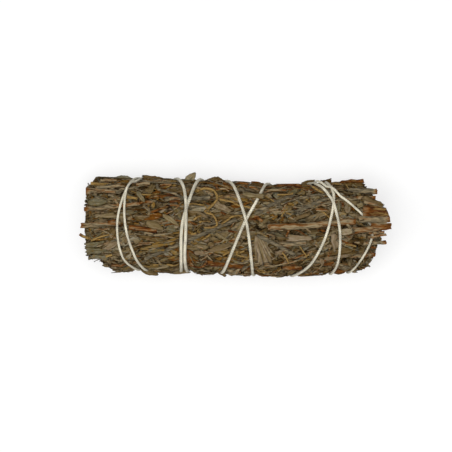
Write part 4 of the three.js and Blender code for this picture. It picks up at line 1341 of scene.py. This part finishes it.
def settle(piece, corners, overshoot):
    """Draws strewn bits inside the trimmed ends, bends them under twine and stems, and marks how much painted
    shade each point gets from its depth.

    Returns the corners of the bits that lie wholly out of sight.
    """
    mesh = piece.data
    spots = np.zeros(len(mesh.vertices) * 3)
    mesh.vertices.foreach_get("co", spots)
    spots = spots.reshape(-1, 3) - np.array(AXIS)
    tints = np.zeros(len(spots))
    mesh.attributes["tint"].data.foreach_get("value", tints)
    strewn = tints >= 0
    bits = spots[strewn].reshape(-1, corners, 3)
    left, right = end_trims(bits.mean(axis=1))
    past = luck.uniform(0, overshoot, (2, len(bits)))
    bits[..., 0] += np.maximum(0, left - past[0] - bits[..., 0].min(axis=1))[:, None]
    bits[..., 0] -= np.maximum(0, bits[..., 0].max(axis=1) - right - past[1])[:, None]
    spots[strewn] = bits.reshape(-1, 3)
    radii = np.hypot(spots[:, 1], spots[:, 2])
    low = np.clip(-spots[:, 1] / np.maximum(radii, LEAST_RADIUS), 0, 1) ** 4
    swell = NEAR_SWELL * low * np.interp(spots[:, 0], SWELL_FADE, (1, SWELL_REST)) * strewn
    spots[:, 1:] *= (1 + swell / np.maximum(radii, LEAST_RADIUS))[:, None]
    radii += swell
    for k in np.flatnonzero(strewn):
        spot = AXIS + Vector(spots[k])
        holds = [(*twine_search.find(spot), TWINE_DIAMETER / 2, TWINE_BITE)]
        for point, i, gap in stem_search.find_range(spot, PRESS_REACH):
            holds.append((point, i, gap, stem_points[i][1], STEM_BITE * stem_points[i][1]))
        most = radii[k]
        for point, _, gap, girth, bite in holds:
            held = math.hypot(point.y - AXIS.y, point.z - AXIS.z)
            aside = math.sqrt(max(0, gap**2 - (radii[k] - held) ** 2))
            most = min(most, held - bite + PRESS_SLOPE * max(0, aside - girth - PRESS_MARGIN))
        spots[k, 1:] *= most / max(radii[k], LEAST_RADIUS)
        radii[k] = most
    surface = BODY_RADIUS * (1 - SHOULDER_DRAW * np.maximum(0, spots[:, 0] - SHOULDER_X))
    down = np.maximum(-spots[:, 2] / np.maximum(radii, LEAST_RADIUS), LEAST_DOWN)
    surface = np.minimum(surface, FLAT_DROP / down)
    rising = CEILING_PRESS * (radii - surface - LEAF_CEILING - swell)
    proud = np.where(strewn, rising, radii - surface + HEART_DEPTH)
    spots[:, 1:] *= (1 - np.maximum(0, proud) / np.maximum(radii, LEAST_RADIUS))[:, None]
    spots[:, 2] = np.maximum(spots[:, 2], TABLE_GAP - AXIS.z)
    left, right = end_trims(spots)
    recessed = np.clip(spots[:, 0], left + HEART_RECESS, right - HEART_RECESS)
    spots[:, 0] = np.where(strewn, spots[:, 0], recessed)
    # Painted shade: points below the pressed surface are marked darker the deeper they lie, the hearts most
    # of all, and less near the trimmed ends.
    below = surface + SHADE_START - radii
    within = np.minimum(spots[:, 0] - left, right - spots[:, 0])
    inside = np.minimum(below, END_SHADE * within)
    shade_amount = mesh.attributes.new("shade_amount", "FLOAT", "POINT")
    shade_amount.data.foreach_set("value", np.clip(inside / SHADE_DEPTH, 0, 1))
    mesh.vertices.foreach_set("co", (spots + np.array(AXIS)).ravel())
    mesh.update()
    least = np.minimum(below, within - END_MARGIN)[strewn].reshape(-1, corners).min(axis=1)
    return np.flatnonzero(strewn)[np.repeat(least > BURIED_DEPTH, corners)]


def trim_ends(piece, middle, buried):
    """Leaves out buried bits, cuts a piece off square at both ends of the bundle and closes every cut."""
    shape = bmesh.new()
    shape.from_mesh(piece.data)
    shape.verts.ensure_lookup_table()
    bmesh.ops.delete(shape, geom=[shape.verts[k] for k in buried], context="VERTS")
    nearby = middle + np.array([(0, 0, 0), (0, MM, 0), (0, 0, MM)])
    for (place, to_side, to_top), way in zip(end_trims(nearby), (-1, 1)):
        slant = way * Vector((1, (place - to_side) / MM, (place - to_top) / MM))
        spot = AXIS + Vector((place + chance.gauss(0, TRIM_RAGGED), *middle[1:]))
        every = [*shape.verts, *shape.edges, *shape.faces]
        cut = bmesh.ops.bisect_plane(shape, geom=every, plane_co=spot, plane_no=slant, clear_outer=True)
        rims = [item for item in cut["geom_cut"] if isinstance(item, bmesh.types.BMEdge)]
        bmesh.ops.holes_fill(shape, edges=rims)
    shape.to_mesh(piece.data)
    shape.free()


leaves = bpy.data.collections.new("leaves")
for number, shape in enumerate(LEAF_SHAPES):
    leaves.objects.link(leaf_blade(f"leaf_{number:02d}", seed=number, **shape))
for number in ALL_SPRIGS:
    node = f"sprig_{number:02d}"
    stray = 1.0 if number in OUTER_SPRIGS else INNER_STRAY
    guide = bpy.data.objects.new("guide", merged_copy(node))
    bpy.context.scene.collection.objects.link(guide)
    corners = np.array([vertex.co for vertex in guide.data.vertices]) - np.array(AXIS)
    middle = (corners.min(axis=0) + corners.max(axis=0)) / 2
    sprig = grow(
        guide,
        strewing_tree,
        f"leafy_{node}",
        Shapes=leaves,
        Last_Shape=len(LEAF_SHAPES) - 1,
        Side_Density=SIDE_DENSITY if number in OUTER_SPRIGS else 0.0,
        End_Density=END_DENSITY,
        Lowest=LEAF_LAYER[0],
        Highest=LEAF_LAYER[1],
        Yaw=stray * LEAF_YAW,
        Flow=stray * LEAF_FLOW,
        Roll=LEAF_ROLL,
        Pitch=LEAF_PITCH if number in OUTER_SPRIGS else INNER_PITCH,
        Heart=True,
        Heart_Inset=HEART_INSET if number in OUTER_SPRIGS else 0.0,
        Stuff=leaf,
        Seed=number,
    )
    buried = settle(sprig, LEAF_CORNERS, TRIM_OVERSHOOT)
    trim_ends(sprig, middle, buried)
    shift_by_bow(sprig.data, 1)
    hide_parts(node)
    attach(sprig, "root")
for shape in list(leaves.objects):
    bpy.data.objects.remove(shape)

# Loose litter: thin broken shoots and chips of orange-brown bark, caught among the leaves all round the
# stick. They lie on the outer sprigs like the leaves and are held by the same twine.
SHOOTS = [
    {"length": 12, "radius": 0.34, "arch": 0.10},
    {"length": 17, "radius": 0.42, "arch": -0.06},
    {"length": 9, "radius": 0.28, "arch": 0.22},
    {"length": 14, "radius": 0.30, "arch": -0.16},
    {"length": 20, "radius": 0.38, "arch": 0.05},
]
SHOOT_STATIONS = 8
SHOOT_SIDES = 5
SHOOT_CROOK = (0.12, 0.08)
SHOOT_TAPER = 0.35
SHOOT_FOOT = 1.1
SHOOT_KNOBS = (0.85, 1.15)
CHIPS = [
    {"length": 6, "width": 1.5, "curl": -1.2, "bend": 0.05, "twist": 0.1, "outline": "torn"},
    {"length": 4, "width": 1.3, "curl": -0.9, "bend": 0.1, "twist": -0.2, "outline": "torn"},
    {"length": 8, "width": 1.1, "curl": -1.6, "bend": 0.05, "twist": 0.15, "outline": "torn"},
]
LITTER_SHARES = (0, 0.6, 0.9, 0.91, 1)
LITTER_PITCH = 0.3 * LEAF_PITCH
LITTER_SEED = 40
CHIP_SEED = 50
LITTER = [
    {
        "name": "thin_shoots",
        "density": 0.05 / MM**2,
        "layer": (0.1, 1.4),
        "tones": (0.0, 0.2, 0.4, 1.05, 1.2),
        "yaw": 1.0,
    },
    {
        "name": "bark_chips",
        "density": 0.024 / MM**2,
        "layer": (-0.4, 1.2),
        "tones": (0.35, 0.5, 0.6, 0.6, 0.75),
        "yaw": 0.7,
    },
]


def shoot(name, length, radius, arch, seed):
    """A thin closed round along X, bowed and crooked."""
    dice = random.Random(seed)
    corners = []
    for i in range(SHOOT_STATIONS):
        t = i / (SHOOT_STATIONS - 1)
        y = (arch * length * 4 * t * (1 - t) + dice.gauss(0, SHOOT_CROOK[0])) * MM
        z = dice.gauss(0, SHOOT_CROOK[1]) * MM
        girth = radius * (SHOOT_FOOT - SHOOT_TAPER * t) * dice.uniform(*SHOOT_KNOBS) * MM
        for j in range(SHOOT_SIDES):
            turn = 2 * math.pi * j / SHOOT_SIDES
            corners.append(((t - 0.5) * length * MM, y + girth * math.cos(turn), z + girth * math.sin(turn)))
    ring = range(SHOOT_SIDES)
    faces = [list(reversed(ring)), [len(corners) - SHOOT_SIDES + j for j in ring]]
    for i in range(SHOOT_STATIONS - 1):
        for j in ring:
            a, b = i * SHOOT_SIDES + j, i * SHOOT_SIDES + (j + 1) % SHOOT_SIDES
            faces.append([a, b, b + SHOOT_SIDES, a + SHOOT_SIDES])
    mesh = bpy.data.meshes.new(name)
    mesh.from_pydata(corners, [], faces)
    return bpy.data.objects.new(name, mesh)


for number, kind in enumerate(LITTER):
    shapes = bpy.data.collections.new(kind["name"])
    if kind["name"] == "thin_shoots":
        made = [shoot(f"shoot_{i}", seed=i, **shape) for i, shape in enumerate(SHOOTS)]
    else:
        made = [leaf_blade(f"chip_{i}", seed=CHIP_SEED + i, **shape) for i, shape in enumerate(CHIPS)]
    for shape in made:
        shapes.objects.link(shape)
    ground = bmesh.new()
    for sprig in OUTER_SPRIGS:
        ground.from_mesh(merged_copy(f"sprig_{sprig:02d}"))
    mesh = bpy.data.meshes.new("ground")
    ground.to_mesh(mesh)
    ground.free()
    guide = bpy.data.objects.new("ground", mesh)
    bpy.context.scene.collection.objects.link(guide)
    litter = grow(
        guide,
        strewing_tree,
        kind["name"],
        Shapes=shapes,
        Last_Shape=len(made) - 1,
        Side_Density=kind["density"],
        End_Density=0.0,
        Lowest=kind["layer"][0] * MM,
        Highest=kind["layer"][1] * MM,
        Yaw=kind["yaw"],
        Flow=LEAF_FLOW,
        Roll=LEAF_ROLL,
        Pitch=LITTER_PITCH,
        Heart=False,
        Heart_Inset=0.0,
        Stuff=bark,
        Seed=LITTER_SEED + number,
    )
    settle(litter, len(made[0].data.vertices), 0)
    tints = np.zeros(len(litter.data.vertices))
    litter.data.attributes["tint"].data.foreach_get("value", tints)
    tones = litter.data.attributes.new("tone", "FLOAT", "POINT")
    tones.data.foreach_set("value", np.interp(tints, LITTER_SHARES, kind["tones"]))
    for shape in made:
        bpy.data.objects.remove(shape)
    shift_by_bow(litter.data, 1)
    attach(litter, "root")

# Single leaves that lie uppermost: a broad pleated leaf, smooth pointed ones, straw-like ones, and grey-green
# ones that stand out of the left end and the far edge. Each is one dried blade, caught by twine or leaves.
# A row gives the place seen from above, heading, height, length, width, curl, tint and outline.
SINGLE_STATIONS = 10
SINGLE_LANES = 10
FAN_LANES = 20
SINGLE_BEND = 0.1
SINGLE_TWISTS = (-0.15, 0.1)
SINGLE_SEED = 80
CRUMPLE = 0.07
FOLD_SHADE = 0.85
FOLD_START = 0.4
SINGLE_LEAVES = [
    (8.6, -7.9, -73, 1.2, 10.8, 9.4, -0.15, 0.6, "fan"),
    (-21.0, 2.0, -34, 1.4, 6.5, 1.9, -0.6, 0.66, "whole"),
    (-26.2, 0.1, -20, 1.3, 6.4, 2.6, -0.4, 0.44, "whole"),
    (-45.0, 7.9, 4, 1.0, 6.6, 3.2, -0.4, 0.77, "whole"),
    (-42.2, 3.5, 3, 0.9, 7.5, 2.0, -0.4, 0.4, "torn"),
    (-45.6, -5.9, 200, 1.0, 7.0, 3.4, -0.3, 0.77, "toothed"),
    (-45.3, -8.1, 186, 1.2, 7.4, 4.4, -0.3, 0.775, "toothed"),
    (-44.2, -10.3, 172, 1.0, 5.8, 2.8, -0.6, 0.78, "torn"),
    (-40.4, -6.5, 25, 1.0, 6.4, 2.8, -0.4, 0.52, "whole"),
    (-33.2, -12.4, -5, 1.0, 7.0, 3.2, 0.5, 0.53, "whole"),
    (-30.9, 9.6, -60, 1.2, 5.0, 2.0, -0.6, 0.7, "whole"),
    (-27.6, 12.2, 60, 1.2, 4.4, 2.6, 0.4, 0.3, "torn"),
    (-26.8, 7.0, 80, 1.5, 2.4, 1.5, -0.8, 0.86, "whole"),
    (-25.4, -6.3, 12, 1.2, 12.0, 1.1, 0.6, 0.86, "torn"),
    (-23.0, -5.0, 14, 1.3, 9.0, 0.9, -0.6, 0.87, "torn"),
    (-27.2, -8.0, 8, 1.2, 9.0, 1.2, 0.5, 0.84, "torn"),
    (-20.9, -10.4, 20, 1.3, 8.0, 1.3, -0.5, 0.86, "torn"),
    (-3.3, -6.7, 17, 1.3, 12.0, 2.1, 0.4, 0.53, "whole"),
    (-11.0, -9.0, -10, 1.2, 5.0, 2.2, -0.4, 0.54, "whole"),
    (-4.4, -3.6, -30, 1.4, 5.0, 1.3, 0.6, 0.66, "torn"),
    (20.9, -3.9, -3, 1.2, 8.0, 2.4, 0.5, 0.5, "torn"),
    (-36.9, -5.3, 65, 1.2, 4.2, 1.4, 0.5, 0.62, "torn"),
    (-4.2, 6.0, -25, 1.2, 6.0, 2.6, 0.3, 0.6, "torn"),
    (36.0, -1.9, 8, 1.4, 4.6, 2.4, 0.3, 0.64, "torn"),
    (32.4, -5.6, -80, 1.3, 7.0, 2.4, 0.4, 0.5, "torn"),
    (33.4, 6.8, 86, 1.3, 4.6, 1.8, -0.6, 0.74, "whole"),
    (36.5, 6.4, 84, 1.3, 4.8, 2.3, -0.5, 0.6, "whole"),
    (31.0, -10.6, -2, 1.3, 4.0, 1.8, -0.5, 0.54, "whole"),
    (24.1, -11.2, 4, 1.3, 4.0, 1.4, 0.5, 0.84, "whole"),
    (28.3, -11.8, -80, 1.2, 3.6, 1.7, -0.5, 0.54, "whole"),
    (44.6, 7.7, -22, 0.7, 7.5, 2.6, 0.4, 0.18, "torn"),
]
PROUD_LEAVES = [
    (5.7, 10.1, -3, 2.3, 7.0, 2.3, -0.4, 0.66, "torn"),
    (8.2, 0.4, 200, 1.7, 1.8, 1.3, -1.0, 0.66, "whole"),
]
EDGE_LEAVES = [
    (-14.9, 15.5, 50, 17.0, 5.2, 3.2, 0.3, 0.7, "whole"),
    (-36.6, 15.7, 172, 16.0, 5.0, 2.0, -0.5, 0.76, "whole"),
    (-27.2, 15.5, -8, 16.0, 6.5, 2.0, -0.5, 0.05, "torn"),
    (-7.6, 15.1, 10, 16.0, 3.4, 1.9, 0.5, 0.2, "torn"),
    (-5.0, 14.9, -22, 16.0, 2.8, 1.9, -0.5, 0.1, "torn"),
    (7.0, 13.4, -2, 15.5, 4.2, 1.7, 0.4, 0.05, "torn"),
    (23.6, 14.1, 14, 13.0, 4.6, 1.8, 0.5, 0.2, "torn"),
    (29.4, 14.5, 8, 13.5, 3.6, 2.2, 0.5, 0.02, "torn"),
    (38.0, 13.3, 6, 18.0, 7.2, 2.0, 0.4, 0.12, "torn"),
    (-28.0, -14.6, -24, 14.0, 6.5, 3.0, 0.4, 0.3, "whole"),
    (-40.5, -12.9, -8, 14.0, 5.5, 1.6, 0.4, 0.4, "torn"),
    (-18.0, -14.9, 2, 13.5, 7.0, 1.6, 0.4, 0.45, "torn"),
    (-9.5, -15.0, 4, 13.5, 6.5, 1.6, 0.4, 0.35, "torn"),
    (-5.4, -14.6, -20, 14.0, 5.5, 2.4, 0.4, 0.2, "torn"),
    (5.0, -15.4, 16, 13.5, 5.0, 1.8, 0.4, 0.5, "whole"),
]
for number, single in enumerate([*SINGLE_LEAVES, *PROUD_LEAVES, *EDGE_LEAVES]):
    x, y, heading, height, length, width, curl, tint, outline = single
    y = turned_back(x, y)
    blade = leaf_blade(
        f"single_{number:02d}",
        length,
        width,
        curl,
        bend=SINGLE_BEND,
        twist=SINGLE_TWISTS[number % 2],
        outline=outline,
        seed=SINGLE_SEED + number,
        stations=SINGLE_STATIONS,
        lanes=FAN_LANES if outline == "fan" else SINGLE_LANES,
        crumple=CRUMPLE,
    )
    turn = Matrix.Rotation(math.radians(heading), 4, "Z")
    reach = surface_radius(x * MM, math.pi / 2) + height * MM
    for vertex in blade.data.vertices:
        local = turn @ vertex.co
        if single in EDGE_LEAVES:
            vertex.co = local + Vector((x, y, height)) * MM
            continue
        angle = math.acos((y * MM + bow(x * MM) - AXIS.y) / reach) - local.y / reach
        vertex.co = on_bundle(x * MM + local.x, angle, height * MM + local.z)
        if single in SINGLE_LEAVES:
            vertex.co = under_twine(vertex.co, 0)
    shade_amounts = [0.0] * len(blade.data.vertices)
    # Painted shade in the fan leaf's pleat folds, weaker towards its narrow base.
    if outline == "fan":
        for loop, spot in zip(blade.data.loops, blade.data.uv_layers["blade"].data):
            fold = max(0, -pleat(2 * spot.uv.y - 1)) ** 3
            shade_amounts[loop.vertex_index] = FOLD_SHADE * fold * min(1, FOLD_START + spot.uv.x)
    blade.data.attributes.new("tint", "FLOAT", "POINT").data.foreach_set("value", [tint] * len(shade_amounts))
    blade.data.attributes.new("shade_amount", "FLOAT", "POINT").data.foreach_set("value", shade_amounts)
    blade.data.polygons.foreach_set("use_smooth", [True] * len(blade.data.polygons))
    blade.data.materials.append(leaf)
    bpy.context.scene.collection.objects.link(blade)
    if single not in EDGE_LEAVES:
        shift_by_bow(blade.data, 1)
    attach(blade, "root")

# The floor and lights: a plain pale sheet under soft light from near the camera, so shadows stay faint.
FLOOR_SIZE = 3.0
FLOOR_COLOUR = "#9a9a9a"
FLOOR_GLOW = 0.68
LIGHTS = [
    {"name": "overhead_softbox", "place": (-0.05, -0.05, 1.1), "size": 0.7, "power": 11.5},
    {"name": "side_softbox", "place": (-0.9, -0.3, 0.8), "size": 0.7, "power": 1.5},
]
SKY_STRENGTH = 0.16

floor_mesh = bpy.data.meshes.new("floor")
half = FLOOR_SIZE / 2
floor_corners = [(-half, -half, 0), (half, -half, 0), (half, half, 0), (-half, half, 0)]
floor_mesh.from_pydata(floor_corners, [], [(0, 1, 2, 3)])
floor = bpy.data.objects.new("floor", floor_mesh)
bpy.context.scene.collection.objects.link(floor)
paper = bpy.data.materials.new("white_paper")
paper.use_nodes = True
shader = paper.node_tree.nodes["Principled BSDF"]
shader.inputs["Base Color"].default_value = linear(FLOOR_COLOUR)
shader.inputs["Roughness"].default_value = 0.9
shader.inputs["Emission Color"].default_value = (1, 1, 1, 1)
shader.inputs["Emission Strength"].default_value = FLOOR_GLOW
floor_mesh.materials.append(paper)

for softbox in LIGHTS:
    lamp = bpy.data.lights.new(softbox["name"], "AREA")
    lamp.size = softbox["size"]
    lamp.energy = softbox["power"]
    light = bpy.data.objects.new(softbox["name"], lamp)
    light.location = softbox["place"]
    light.rotation_euler = (AXIS - light.location).to_track_quat("-Z", "Y").to_euler()
    light.visible_camera = False
    bpy.context.scene.collection.objects.link(light)
world = bpy.data.worlds.new("studio")
world.use_nodes = True
world.node_tree.nodes["Background"].inputs["Color"].default_value = (1, 1, 1, 1)
world.node_tree.nodes["Background"].inputs["Strength"].default_value = SKY_STRENGTH
bpy.context.scene.world = world
bpy.context.scene.view_settings.view_transform = "Standard"
